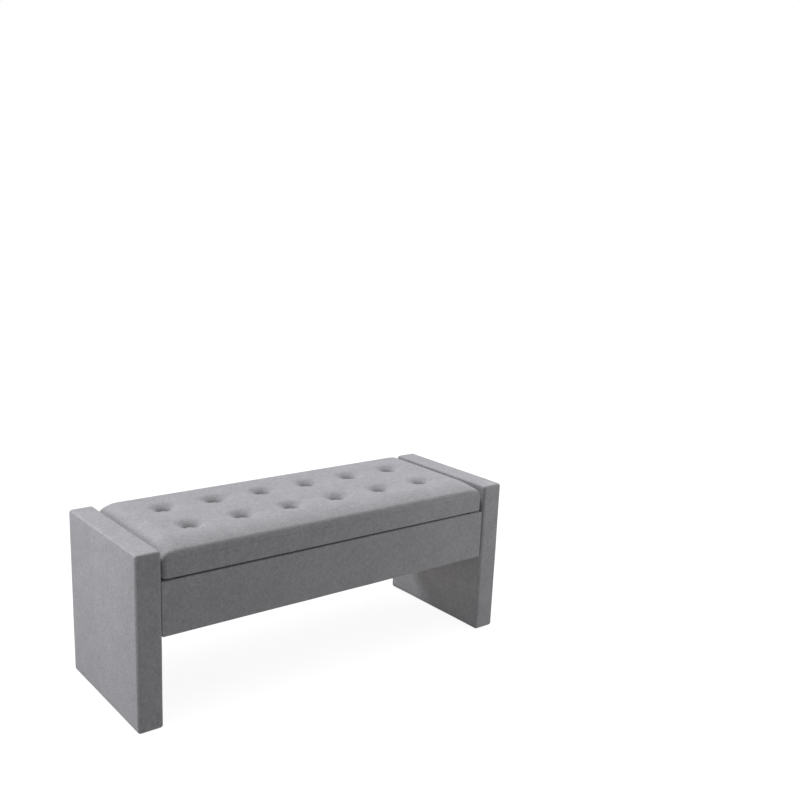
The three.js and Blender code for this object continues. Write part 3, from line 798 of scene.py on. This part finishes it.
def lid_lines(low, high, bends, centres, reach):
    """Grid lines at the given distances from both ends, close together within reach of the buttons'
    centres and further apart between them."""
    fine, coarse = 3.2 * MM, 9 * MM
    steps = math.ceil(reach / fine)
    lines = [low + bend for bend in bends] + [high - bend for bend in bends]
    lines += [centre + fine * step for centre in centres for step in range(-steps, steps + 1)]
    lines.sort()
    for before, after in zip(lines[:], lines[1:]):
        parts = round((after - before) / coarse)
        lines += [before + (after - before) * part / parts for part in range(1, parts)]
    return sorted(lines)


def lid_shape():
    """The lid cover before it is blown up: a rounded slab with a crown and a hollow per button.
    Gives the points, the quads, how firmly each point is held and its seam mark with painted shade."""
    size = sizes()
    low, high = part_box("lid_cover")
    low.z += size.lid_gap
    half = np.array([high.x - low.x, high.y - low.y, size.lid_shoulder]) / 2
    centre = np.array([(low.x + high.x) / 2, (low.y + high.y) / 2, low.z + half[2]])
    corner, seam_height = size.lid_corner, size.lid_seam
    bends = [corner * share for share in (0, 0.06, 0.14, 0.3, 0.49, 0.68, 0.84, 1)]
    middles = [(box_low + box_high) / 2 for _, box_low, box_high in button_boxes()]
    columns = sorted({round(middle.x, 4) for middle in middles})
    rows = sorted({round(middle.y, 4) for middle in middles})
    wide = size.tuft_reach * size.tuft_stretch
    across = [x - centre[0] for x in lid_lines(low.x, high.x, bends, columns, wide)]
    along = [y - centre[1] for y in lid_lines(low.y, high.y, bends, rows, size.tuft_reach)]
    heights = [0, 0.8, 2, 6, 13, 19, 25, 31, 37, 41.5, 45.3, seam_height / MM, 48.7, 52, 56]
    heights.append(size.lid_shoulder / MM)
    upright = [height * MM - half[2] for height in heights]
    grid, faces = surface_grid([across, along, upright])
    hem, roll = (size.lid_hem, size.lid_hem), (corner, size.lid_roll)
    points = slab(grid, half, 2, corner, hem, roll)
    seam = np.isclose(grid[:, 2], upright[heights.index(seam_height / MM)]).astype(float)
    reach_x = size.lid_crown_reach * 0.6
    reach_y = np.where(points[:, 1] > 0, size.lid_back_reach, size.lid_crown_reach)
    rise_x, rise_y = (
        1 - (1 - np.clip((half[axis] - np.abs(points[:, axis])) / reach, 0, 1)) ** 2.2
        for axis, reach in ((0, reach_x), (1, reach_y))
    )
    on_top = smooth_step((grid[:, 2] + half[2] * 0.2) / (half[2] * 1.2))
    points[:, 2] += size.lid_crown * rise_x * rise_y * on_top
    points += centre
    top = grid[:, 2] > half[2] * 0.99
    held = np.where(top, LOOSE_TOP, 0.5)
    beside_board = 17 * MM
    held[points[:, 2] < low.z + beside_board] = 1
    sink_tufts(points, top, held, seam)
    return points, faces, held, seam


def sink_tufts(points, top, held, seam):
    """Pulls a hollow, and a soft dish round it, into the top for every button. A hollow's cloth is
    held more firmly and gets painted shade near the button."""
    size = sizes()
    shadow_reach = 11 * MM
    for _, low, high in button_boxes():
        middle = (low + high) / 2
        floor = low.z - 0.2 * MM
        away = np.hypot((points[:, 0] - middle.x) / size.tuft_stretch, points[:, 1] - middle.y)
        fall = np.clip((away - size.tuft_pin) / (size.tuft_reach - size.tuft_pin), 0, 1)
        fall = 1 - (1 - fall) ** 1.9
        dish = smooth_step(away / size.tuft_dish)
        drop = (points[:, 2] - floor) * (1 - fall)
        points[top, 2] -= np.maximum(drop, 0)[top]
        points[top, 2] -= (size.dish_depth * (1 - dish) * fall)[top]
        held[top] = np.maximum(held, 1 - (1 - LOOSE_TOP) * fall)[top]
        # Painted shade near the button, kept in the seam mark for the cloth's colour.
        shadow = 0.85 * (1 - smooth_step((away - size.tuft_pin) / shadow_reach))
        seam[top] = np.maximum(seam, shadow)[top]


def blow_up(piece, held, pressure, frames, cap):
    """Fills a closed cover with air as Cloth, each point held back by the foam behind it, and keeps
    the result. No point ends up further than cap from where it began."""
    scene = bpy.context.scene
    group = piece.vertex_groups.new(name="held")
    for index, weight in enumerate(held):
        group.add([index], float(weight), "REPLACE")
    modifier = piece.modifiers.new("Cloth", "CLOTH")
    settings = modifier.settings
    settings.quality = 8
    settings.mass = 0.25
    settings.tension_stiffness = settings.compression_stiffness = 30
    settings.shear_stiffness = 15
    settings.bending_stiffness = 5.0
    settings.use_pressure = True
    settings.uniform_pressure_force = pressure
    settings.vertex_group_mass = "held"
    settings.pin_stiffness = 1
    settings.effector_weights.gravity = 0
    modifier.point_cache.frame_start = 1
    modifier.point_cache.frame_end = frames
    for step in range(1, frames + 1):
        scene.frame_set(step)
    evaluated = piece.evaluated_get(bpy.context.evaluated_depsgraph_get())
    start = np.array([v.co for v in piece.data.vertices])
    end = np.array([v.co for v in evaluated.data.vertices])
    move = end - start
    far = np.linalg.norm(move, axis=1, keepdims=True)
    end = start + move * np.minimum(1, cap / np.maximum(far, TINY))
    piece.modifiers.remove(modifier)
    piece.vertex_groups.remove(group)
    piece.data.vertices.foreach_set("co", end.ravel())
    piece.data.update()
    scene.frame_set(1)


def draw_in(piece, points, depth):
    """Pulls some points in along their normals, as the thread of a seam does."""
    mesh = piece.data
    normals = [vertex.normal.copy() for vertex in mesh.vertices]
    for index in np.nonzero(points)[0]:
        mesh.vertices[index].co -= normals[index] * depth
    mesh.update()


def lid_cover():
    """The lid's cover, swollen over its foam and drawn in along its boxing seam."""
    size = sizes()
    points, faces, held, seam = lid_shape()
    piece = make_object("lid_upholstery", points, faces, grey_chenille())
    blow_up(piece, held, pressure=3.0, frames=20, cap=24 * MM)
    sewn_and_shaded = seam > 0.9
    draw_in(piece, sewn_and_shaded, size.seam_depth * 0.7)
    # Painted shade: darker cloth along the boxing seam and round each button.
    give_attribute(piece, SEAM_SHADE, np.where(sewn_and_shaded, 0.35, seam))
    subdivide(piece)
    return finished(piece, "lid", "cover_cloth", "lid_cover", "lid_foam")


def covered_button(name, low, high):
    """A domed button covered in the same cloth, gathered under its rim."""
    radius, height = (high.x - low.x) / 2, (high.z - low.z) * 0.5
    profile = [(0, 0), (radius * 0.7, 0.0), (radius * 0.93, height * 0.12)]
    for turn in (0, 0.15, 0.3, 0.45, 0.6, 0.75, 0.9):
        angle = turn * math.pi / 2
        profile.append((radius * math.cos(angle), height * (0.3 + 0.7 * math.sin(angle))))
    profile.append((0, height))
    points, faces = turned(profile, 32)
    around = np.arctan2(points[:, 1], points[:, 0])
    gather = 1 + 0.02 * np.cos(8 * around) * (1 - points[:, 2] / height)
    points[:, :2] *= gather[:, None]
    centre = np.array([(low.x + high.x) / 2, (low.y + high.y) / 2, low.z])
    piece = make_object(f"{name}_covered", points + centre, faces, grey_chenille())
    subdivide(piece)
    return finished(piece, "lid", "cover_cloth", name)


# ---------------------------------------------------------------- linings


def staples(name, body, low, high, facing):
    """A row of wire staples round a rectangle, set in from its edge, on a face that looks down."""
    inset, pitch, long, wide, tall = 6 * MM, 62 * MM, 9 * MM, 1.1 * MM, 0.6 * MM
    x = (low.x + inset, high.x - inset)
    y = (low.y + inset, high.y - inset)
    places = []
    for start, end, fixed, along in ((*x, y, 0), (*y, x, 1)):
        count = round((end - start) / pitch)
        for i in range(count):
            reach = start + (end - start) * (i + 0.5) / count
            for across in fixed:
                places.append((reach, across, 0) if along == 0 else (across, reach, 1))
    points, faces = [], []
    profile = [(-long / 2, 0), (-long / 2 + tall, tall), (long / 2 - tall, tall), (long / 2, 0)]
    for px, py, turned_round in places:
        first = len(points)
        for side in (-wide / 2, wide / 2):
            for run, rise in profile:
                dx, dy = (side, run) if turned_round else (run, side)
                points.append((px + dx, py + dy, facing - rise))
        count = len(profile)
        for i in range(count):
            after = (i + 1) % count
            faces.append([first + n for n in (i, after, after + count, i + count)])
        faces.append([first + i for i in range(count)][::-1])
        faces.append([first + i + count for i in range(count)])
    piece = make_object(name, points, faces, stay_steel(), smooth=False)
    correct_normals(piece)
    return finished(piece, body, "stay_steel")


def correct_normals(piece):
    mesh = bmesh.new()
    mesh.from_mesh(piece.data)
    bmesh.ops.recalc_face_normals(mesh, faces=mesh.faces)
    mesh.to_mesh(piece.data)
    mesh.free()


def stapled_sheet(name, node, body, sag, seed):
    """A level sheet with a folded hem, stapled to the underside of a board."""
    size = sizes()
    low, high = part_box(node)
    hem = 12 * MM
    centre, half = middle_and_half(node)
    edges = [half[axis] - hem for axis in range(2)]
    lines = [lines_over(half[axis], 1 * MM, 26 * MM, 1, extra=(edges[axis],)) for axis in range(2)]
    grid, faces = flat_grid(*lines)
    inset = np.minimum(*(half[axis] - np.abs(grid[:, axis]) for axis in range(2)))
    free = smooth_step((inset - hem) / (60 * MM))
    top = high.z - centre[2]
    ripple = np.array([noise.noise(Vector((x, y, seed)) * 14) for x, y, _ in grid])
    grid[:, 2] = top - free * (sag + 0.35 * MM * (1 + ripple)) - (inset < hem - NEAR) * 0.2 * MM
    piece = make_object(name, grid + centre, faces, black_lining())
    thicken(piece, size.lining)
    subdivide(piece)
    tacks = staples(f"{name}_staples", body, low, high, high.z - size.lining - 0.1 * MM)
    return finished(piece, body, "lining_cloth", node), tacks


def lining_tray():
    """The box's lining: a tray of cloth folded at its corners, its ends laid over the side rims."""
    size = sizes()
    low, high = (np.array(corner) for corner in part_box("box_lining"))
    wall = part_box("box_right_wall")
    inside = np.array([wall[0].x - 0.3 * MM, 0, 0])
    tray_high = np.array([inside[0], high[1], high[2]])
    tray_low = np.array([-inside[0], low[1], low[2]])
    centre, half = (tray_low + tray_high) / 2, (tray_high - tray_low) / 2
    fold = size.lining * 1.5
    corner = 3 * MM
    lines = [lines_over(h, corner, 20 * MM, 3) for h in half]
    grid, faces = surface_grid(lines)
    points = rounded(grid, half, corner)
    points[grid[:, 2] > half[2] - corner] = grid[grid[:, 2] > half[2] - corner]
    points[:, :2] = np.clip(points[:, :2], -half[:2], half[:2])
    on_rim = grid[:, 2] > half[2] - 0.1 * NEAR
    kept = [face for face in faces if not on_rim[face].all()]
    sway = np.array([noise.noise(Vector(p) * 9 + Vector((3, 1, 4))) for p in points])
    pleat = np.array([noise.noise(Vector((p[0] * 60, p[1] * 60, p[2] * 6))) for p in points])
    loose = 1.6 * MM * (0.6 + sway * 0.5 + pleat * 0.25)
    down = smooth_step((half[2] - grid[:, 2]) / (30 * MM))
    on_long_wall = np.abs(grid[:, 1]) > half[1] - NEAR
    on_floor = grid[:, 2] < -half[2] + NEAR
    points[on_long_wall, 1] -= (np.sign(grid[:, 1]) * loose * down)[on_long_wall]
    points[on_floor, 2] += (loose * 0.8)[on_floor]
    points[on_rim, 2] = half[2] - fold
    points += centre
    vertices = [tuple(p) for p in points]
    rim = [i for i in range(len(grid)) if on_rim[i]]
    for side in (-1, 1):
        row = [i for i in rim if abs(grid[i][0] - side * half[0]) < NEAR]
        row.sort(key=lambda i: grid[i][1])
        outer = []
        for i in row:
            _, y, z = vertices[i]
            outer.append(len(vertices))
            vertices.append((side * (high[0] - 0.6 * MM), y, z))
        for a, b, c, d in zip(row, row[1:], outer[1:], outer):
            kept.append((a, b, c, d) if side < 0 else (d, c, b, a))
    piece = make_object("box_lining_cloth", vertices, kept, black_lining())
    correct_normals(piece)
    thicken(piece, size.lining, offset=0, even=False)
    subdivide(piece)
    deep = high[2] - low[2]
    flat = (2 * (half[1] + deep), 2 * (high[0] + deep))
    area = flat[0] * flat[1] - 4 * deep * deep
    return finished(piece, "base", "lining_cloth", "box_lining")


# ---------------------------------------------------------------- fittings


def eased(node, body, slot, material, width, name):
    """A CAD node's shape with its hard edges eased and its round faces smoothed."""
    mesh = bmesh.new()
    mesh.from_mesh(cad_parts[node].data)
    bmesh.ops.remove_doubles(mesh, verts=mesh.verts, dist=0.002 * MM)
    bmesh.ops.dissolve_limit(
        mesh, angle_limit=math.radians(2), verts=mesh.verts, edges=mesh.edges, delimit={"NORMAL"}
    )
    hard = [
        edge
        for edge in mesh.edges
        if len(edge.link_faces) == 2 and edge.calc_face_angle(0) > math.radians(40)
    ]
    bmesh.ops.bevel(
        mesh, geom=hard, offset=width, segments=2, profile=0.5, affect="EDGES", clamp_overlap=True
    )
    bmesh.ops.triangulate(mesh, faces=[face for face in mesh.faces if len(face.verts) > 4])
    data = bpy.data.meshes.new(name)
    mesh.to_mesh(data)
    mesh.free()
    for polygon in data.polygons:
        polygon.use_smooth = True
    data.set_sharp_from_angle(angle=math.radians(34))
    data.materials.append(material)
    return finished(place_mesh(name, data), body, slot, node)


def cross_outline(reach, width):
    """A cross drawn anticlockwise, for a screwdriver."""
    corner, tip = width / 2, reach
    quarter = [(tip, -corner), (tip, corner), (corner, corner)]
    outline = []
    for turn in range(4):
        c, s = (1, 0, -1, 0)[turn], (0, 1, 0, -1)[turn]
        outline += [(x * c - y * s, x * s + y * c) for x, y in quarter]
    return outline


def screw_mesh(name, radius, material):
    """A countersunk cross-head screw, its face at height 0 and looking up."""
    dome = radius * 0.1
    shank = radius * 0.42
    profile = [(0, -radius * 3.6), (shank * 0.2, -radius * 3.6), (shank, -radius * 3.0)]
    profile += [(shank, -radius * 0.62), (radius * 0.96, -radius * 0.1), (radius, -dome * 0.4)]
    profile += [(radius * 0.92, dome * 0.2), (radius * 0.6, dome * 0.75), (0, dome)]
    tool = prism(cross_outline(radius * 0.52, radius * 0.2), -radius * 0.45, radius)
    return carved(name, turned(profile, 36), tool, material)


def screws(word, body, slot, material, radius, places, direction):
    """Like screws on one fitting, all driven the same way."""
    mesh = screw_mesh(f"{word}_screw", radius, material)
    for number, place in enumerate(places):
        turn = Matrix.Rotation(0.5 + 1.1 * number, 4, "Z")
        piece = place_mesh(f"{word}_screw_{number + 1}", mesh, turn_to(direction, place) @ turn)
        finished(piece, body, slot)


def hinge(word):
    """A butt hinge: two leaves, the pin and three screws in each leaf."""
    pieces = (("lower_leaf", "base"), ("upper_leaf", "lid"), ("pin", "base"))
    for part, body in pieces:
        node = f"{word}_hinge_{part}"
        eased(node, body, "hinge_steel", hinge_steel(), 0.25 * MM, f"{node}_plated")
    radius, pitch, setback = 2.55 * MM, 21 * MM, 7 * MM
    for part, body, up in (("lower_leaf", "base", 1), ("upper_leaf", "lid", -1)):
        low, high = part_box(f"{word}_hinge_{part}")
        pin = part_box(f"{word}_hinge_pin")
        leaf = 1.2 * MM
        face = low.z + leaf if up > 0 else high.z - leaf
        if up > 0:
            face = min(face, (pin[0].z + pin[1].z) / 2)
        x = (pin[0].x + pin[1].x) / 2
        places = [(x + step * pitch, low.y + setback, face) for step in (-1, 0, 1)]
        name = f"{word}_hinge_{part}"
        screws(name, body, "hinge_steel", hinge_steel(), radius, places, (0, 0, up))


def stay(side, word):
    """A folding lid stay: wall plate, two arms and lid bracket, with the screws that hold it."""
    bodies = {
        "wall_plate": "base",
        "lower_arm": f"{word}_lower_arm",
        "upper_arm": f"{word}_upper_arm",
        "lid_bracket": "lid",
    }
    for part, body in bodies.items():
        node = f"{word}_stay_{part}"
        eased(node, body, "stay_steel", stay_steel(), 0.3 * MM, f"{node}_plated")
    radius, strap = 3.15 * MM, 2 * MM
    low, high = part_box(f"{word}_stay_wall_plate")
    outer = max(abs(low.x), abs(high.x)) - strap
    middle = (low + high) / 2
    spread = 16 * MM
    places = [(side * outer, middle.y, middle.z + step * spread) for step in (-1, 1)]
    name = f"{word}_stay_wall"
    screws(name, "base", "stay_steel", stay_steel(), radius, places, (-side, 0, 0))
    low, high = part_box(f"{word}_stay_lid_bracket")
    middle = (low + high) / 2
    inner = min(abs(low.x), abs(high.x)) + 10 * MM
    spread = 11 * MM
    places = [(side * inner, middle.y + step * spread, high.z - strap) for step in (-1, 1)]
    name = f"{word}_stay_lid"
    screws(name, "lid", "stay_steel", stay_steel(), radius, places, (0, 0, -1))


def connector_bolts():
    """Button-head bolts with hexagon sockets, from inside the box into the ends."""
    node_low, node_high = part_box("right_front_bolt")
    radius, length = (node_high.z - node_low.z) / 2, node_high.x - node_low.x
    head, shank, tall = 2.0 * MM, 3 * MM, 0.9 * MM
    profile = [(0, -length + head), (shank - 0.6 * MM, -length + head), (shank, -length + 2 * head)]
    profile += [(shank, 0), (radius - 0.3 * MM, 0), (radius, 0.3 * MM), (radius * 0.96, head * 0.5)]
    profile += [(radius * 0.8, head - tall * 0.25), (radius * 0.55, head), (0, head)]
    hexagon = [
        (2.3 * MM * math.cos(math.radians(60 * i)), 2.3 * MM * math.sin(math.radians(60 * i)))
        for i in range(6)
    ]
    socket = prism(hexagon, -1.5 * MM, 2 * head)
    mesh = carved("connector_bolt", turned(profile, 40), socket, bolt_steel())
    for side, word in SIDES:
        for row in ROWS:
            low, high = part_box(f"{word}_{row}_bolt")
            middle = (low + high) / 2
            face = (high.x if side < 0 else low.x) + side * head
            matrix = turn_to((-side, 0, 0), (face, middle.y, middle.z))
            piece = place_mesh(f"{word}_{row}_bolt_head", mesh, matrix)
            finished(piece, "base", "bolt_steel", f"{word}_{row}_bolt")


def glides_and_bumpers():
    """Nail-on glides under the ends, and rubber bumpers on the front rim."""
    low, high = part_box("left_front_glide")
    radius = (high.x - low.x) / 2
    thick, nail = 4.5 * MM, 1.5 * MM
    profile = [(0, 0), (radius * 0.78, 0), (radius * 0.93, 0.4 * MM), (radius, 1.5 * MM)]
    profile += [(radius, thick - 0.4 * MM), (radius - 0.4 * MM, thick), (nail, thick)]
    profile += [(nail, high.z - 2 * MM), (0, high.z)]
    foot_points, foot_faces = turned(profile, 40)
    for _, word in SIDES:
        for row in ROWS:
            low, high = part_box(f"{word}_{row}_glide")
            middle = (low + high) / 2
            place = np.array((middle.x, middle.y, 0))
            name = f"{word}_{row}_glide_foot"
            piece = make_object(name, foot_points + place, foot_faces, glide_plastic())
            piece.data.set_sharp_from_angle(angle=math.radians(50))
            finished(piece, "base", "glide_plastic", f"{word}_{row}_glide")
    for _, word in SIDES:
        low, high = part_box(f"{word}_lid_bumper")
        radius, height = (high.x - low.x) / 2, high.z - low.z
        profile = [(0, 0), (radius - 0.2 * MM, 0), (radius, 0.3 * MM), (radius, height * 0.35)]
        for turn in (0.25, 0.5, 0.75, 0.92):
            angle = turn * math.pi / 2
            profile.append((radius * math.cos(angle), height * (0.35 + 0.65 * math.sin(angle))))
        profile.append((0, height))
        points, faces = turned(profile, 32)
        place = np.array(((low.x + high.x) / 2, (low.y + high.y) / 2, low.z))
        piece = make_object(f"{word}_bumper_dome", points + place, faces, bumper_rubber())
        finished(piece, "base", "bumper_rubber", f"{word}_lid_bumper")


# ---------------------------------------------------------------- boards


def board_finishes():
    """Gives every CAD board that stays its own finish."""
    finishes = {
        "end_frame": planed_pine,
        "end_core": kraft_honeycomb,
        "end_inner_skin": brown_hardboard,
        "end_outer_skin": brown_hardboard,
        "box_front_panel": raw_fibreboard,
        "box_back_panel": raw_fibreboard,
        "box_left_wall": raw_fibreboard,
        "box_right_wall": raw_fibreboard,
        "box_floor_batten": planed_pine,
        "box_floor": raw_fibreboard,
        "lid_board": raw_fibreboard,
    }
    for ending, finish in finishes.items():
        matches = [node for name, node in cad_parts.items() if name.endswith(ending)]
        for node in matches:
            node.data.materials.clear()
            node.data.materials.append(finish())


# ---------------------------------------------------------------- stage


def make_floor():
    reach = 40.0
    points = [(-reach, -reach, 0), (reach, -reach, 0), (reach, reach, 0), (-reach, reach, 0)]
    floor = make_object("floor", points, [(0, 1, 2, 3)], floor_paint(), smooth=False)
    floor.visible_diffuse = False
    return floor


def lamp(name, kind, place, target, energy, tint=(1, 1, 1), **shape):
    data = bpy.data.lights.new(name, kind)
    data.energy = energy
    data.color = tint
    for key, value in shape.items():
        setattr(data, key, value)
    made = bpy.data.objects.new(name, data)
    made.location = place
    direction = Vector(target) - Vector(place)
    made.rotation_euler = direction.to_track_quat("-Z", "Y").to_euler()
    bpy.context.scene.collection.objects.link(made)
    return made


def light_floor_apart(floor, bench_lamps, floor_lamp):
    """The bench's lamps don't reach the floor, and the floor's own lamp reaches nothing else, so
    the floor stays pale and has only a soft contact shadow."""
    for made in (*bench_lamps, floor_lamp):
        group = bpy.data.collections.new(f"{made.name}_reach")
        group.objects.link(floor)
        made.light_linking.receiver_collection = group
        if made is not floor_lamp:
            group.collection_objects[0].light_linking.link_state = "EXCLUDE"
    blockers = bpy.data.collections.new("floor_lamp_blockers")
    blockers.objects.link(floor)
    floor_lamp.light_linking.blocker_collection = blockers


def make_lights(scene, floor):
    """A soft key from above and behind, a lamp on the left side, a weak fill on the right, the warm
    bounce off a floor between the ends, and an even sky."""
    world = bpy.data.worlds.new("studio")
    world.use_nodes = True
    tree = world.node_tree
    sky = tree.nodes["Background"]
    sky.inputs["Color"].default_value = (1, 1, 1, 1)
    sky.inputs["Strength"].default_value = 0.33
    white = tree.nodes.new("ShaderNodeBackground")
    white.inputs["Color"].default_value = (1, 1, 1, 1)
    white.inputs["Strength"].default_value = 1.0
    seen = tree.nodes.new("ShaderNodeLightPath")
    mixed = tree.nodes.new("ShaderNodeMixShader")
    tree.links.new(seen.outputs["Is Camera Ray"], mixed.inputs[0])
    tree.links.new(sky.outputs[0], mixed.inputs[1])
    tree.links.new(white.outputs[0], mixed.inputs[2])
    tree.links.new(mixed.outputs[0], tree.nodes["World Output"].inputs["Surface"])
    scene.world = world
    lamps = [
        lamp("key", "SUN", (-0.45, 1.25, 1.75), (0, 0, 0), 3.4, angle=math.radians(16)),
        lamp("side", "AREA", (-1.15, 0, 0.48), (-0.585, 0, 0.42), 1.25, size=0.3),
        lamp("fill", "AREA", (1.3, -1.0, 0.8), (0.55, -0.2, 0.35), 5.2, size=0.8),
        lamp("bounce", "AREA", (0.15, 0, 0.004), (0.15, 0, 1), 0.5, (1, 0.9, 0.8), size=0.5),
    ]
    for area in lamps:
        area.visible_camera = False
    glow = lamp("floor_glow", "SUN", (0, 0, 4), (0, 0, 0), 2.9, angle=math.radians(30))
    light_floor_apart(floor, lamps, glow)


def make_camera(scene):
    """A camera turned about 37 degrees to the left of the front, looking down 14 degrees."""
    right = Vector((0.80101, -0.59778, 0.03231))
    up = Vector((0.11834, 0.21101, 0.97029))
    forward = Vector((0.58684, 0.77339, -0.23977))
    place = Vector((-1.4661, -2.2064, 1.2784))
    data = bpy.data.cameras.new("camera")
    data.lens = 44.35
    data.sensor_width = 36
    data.shift_x = data.shift_y = 0.05
    camera = bpy.data.objects.new("camera", data)
    axes = Matrix((right, up, -forward)).transposed()
    camera.matrix_world = Matrix.Translation(place) @ axes.to_4x4()
    scene.collection.objects.link(camera)
    scene.camera = camera


# ---------------------------------------------------------------- operators


class BENCH_OT_stage(bpy.types.Operator):
    """Set the pale floor, the soft lights and the camera"""

    bl_idname = "bench.stage"
    bl_label = "Studio"

    def execute(self, context):
        context.scene.view_settings.view_transform = "Standard"
        make_lights(context.scene, make_floor())
        make_camera(context.scene)
        return {"FINISHED"}


class BENCH_OT_boards(bpy.types.Operator):
    """Finish the boards and rails inside the bench"""

    bl_idname = "bench.boards"
    bl_label = "Boards"

    def execute(self, context):
        board_finishes()
        return {"FINISHED"}


class BENCH_OT_ends(bpy.types.Operator):
    """Upholster both ends"""

    bl_idname = "bench.ends"
    bl_label = "End Covers"

    def execute(self, context):
        for side, word in SIDES:
            end_cover(side, word)
        return {"FINISHED"}


class BENCH_OT_box(bpy.types.Operator):
    """Upholster the box's front and back"""

    bl_idname = "bench.box"
    bl_label = "Box Covers"

    def execute(self, context):
        box_cover("front", -1, sizes().box_puff)
        box_cover("back", 1, sizes().box_puff * 0.5)
        return {"FINISHED"}


class BENCH_OT_lid(bpy.types.Operator):
    """Blow up the tufted lid cover"""

    bl_idname = "bench.lid"
    bl_label = "Tufted Lid"

    def execute(self, context):
        lid_cover()
        return {"FINISHED"}


class BENCH_OT_buttons(bpy.types.Operator):
    """Sew on the covered buttons"""

    bl_idname = "bench.buttons"
    bl_label = "Buttons"

    def execute(self, context):
        for name, low, high in button_boxes():
            covered_button(name, low, high)
        return {"FINISHED"}


class BENCH_OT_linings(bpy.types.Operator):
    """Line the box, the lid's underside and the bottom"""

    bl_idname = "bench.linings"
    bl_label = "Linings"

    def execute(self, context):
        lining_tray()
        stapled_sheet("lid_lining_cloth", "lid_lining", "lid", 0.0, 2.0)
        sag = sizes().dust_sag
        stapled_sheet("dust_cover_cloth", "box_dust_cover", "base", sag, 7.0)
        return {"FINISHED"}


class BENCH_OT_hinges(bpy.types.Operator):
    """Fit the butt hinges"""

    bl_idname = "bench.hinges"
    bl_label = "Hinges"

    def execute(self, context):
        for _, word in SIDES:
            hinge(word)
        return {"FINISHED"}


class BENCH_OT_stays(bpy.types.Operator):
    """Fit the folding lid stays"""

    bl_idname = "bench.stays"
    bl_label = "Lid Stays"

    def execute(self, context):
        for side, word in SIDES:
            stay(side, word)
        return {"FINISHED"}


class BENCH_OT_fixings(bpy.types.Operator):
    """Fit the connector bolts, glides and bumpers"""

    bl_idname = "bench.fixings"
    bl_label = "Bolts, Glides and Bumpers"

    def execute(self, context):
        connector_bolts()
        glides_and_bumpers()
        return {"FINISHED"}


OPERATORS = (
    BENCH_OT_stage,
    BENCH_OT_boards,
    BENCH_OT_ends,
    BENCH_OT_box,
    BENCH_OT_lid,
    BENCH_OT_buttons,
    BENCH_OT_linings,
    BENCH_OT_hinges,
    BENCH_OT_stays,
    BENCH_OT_fixings,
)


class BENCH_PT_panel(bpy.types.Panel):
    """Builds the bench piece by piece"""

    bl_idname = "BENCH_PT_panel"
    bl_label = "Storage Bench"
    bl_space_type = "VIEW_3D"
    bl_region_type = "UI"
    bl_category = "Bench"

    def draw(self, context):
        layout = self.layout
        for operator in OPERATORS:
            layout.operator(operator.bl_idname)
        for group in (context.scene.bench_sizes, context.scene.bench_colours):
            for name in group.__annotations__:
                layout.prop(group, name)


CLASSES = (BenchSizes, BenchColours, *OPERATORS, BENCH_PT_panel)


def register():
    for cls in CLASSES:
        bpy.utils.register_class(cls)
    bpy.types.Scene.bench_sizes = bpy.props.PointerProperty(type=BenchSizes)
    bpy.types.Scene.bench_colours = bpy.props.PointerProperty(type=BenchColours)


def unregister():
    del bpy.types.Scene.bench_colours
    del bpy.types.Scene.bench_sizes
    for cls in reversed(CLASSES):
        bpy.utils.unregister_class(cls)


def main():
    register()
    for operator in OPERATORS:
        group, name = operator.bl_idname.split(".")
        getattr(getattr(bpy.ops, group), name)()


if __name__ == "__main__":
    main()
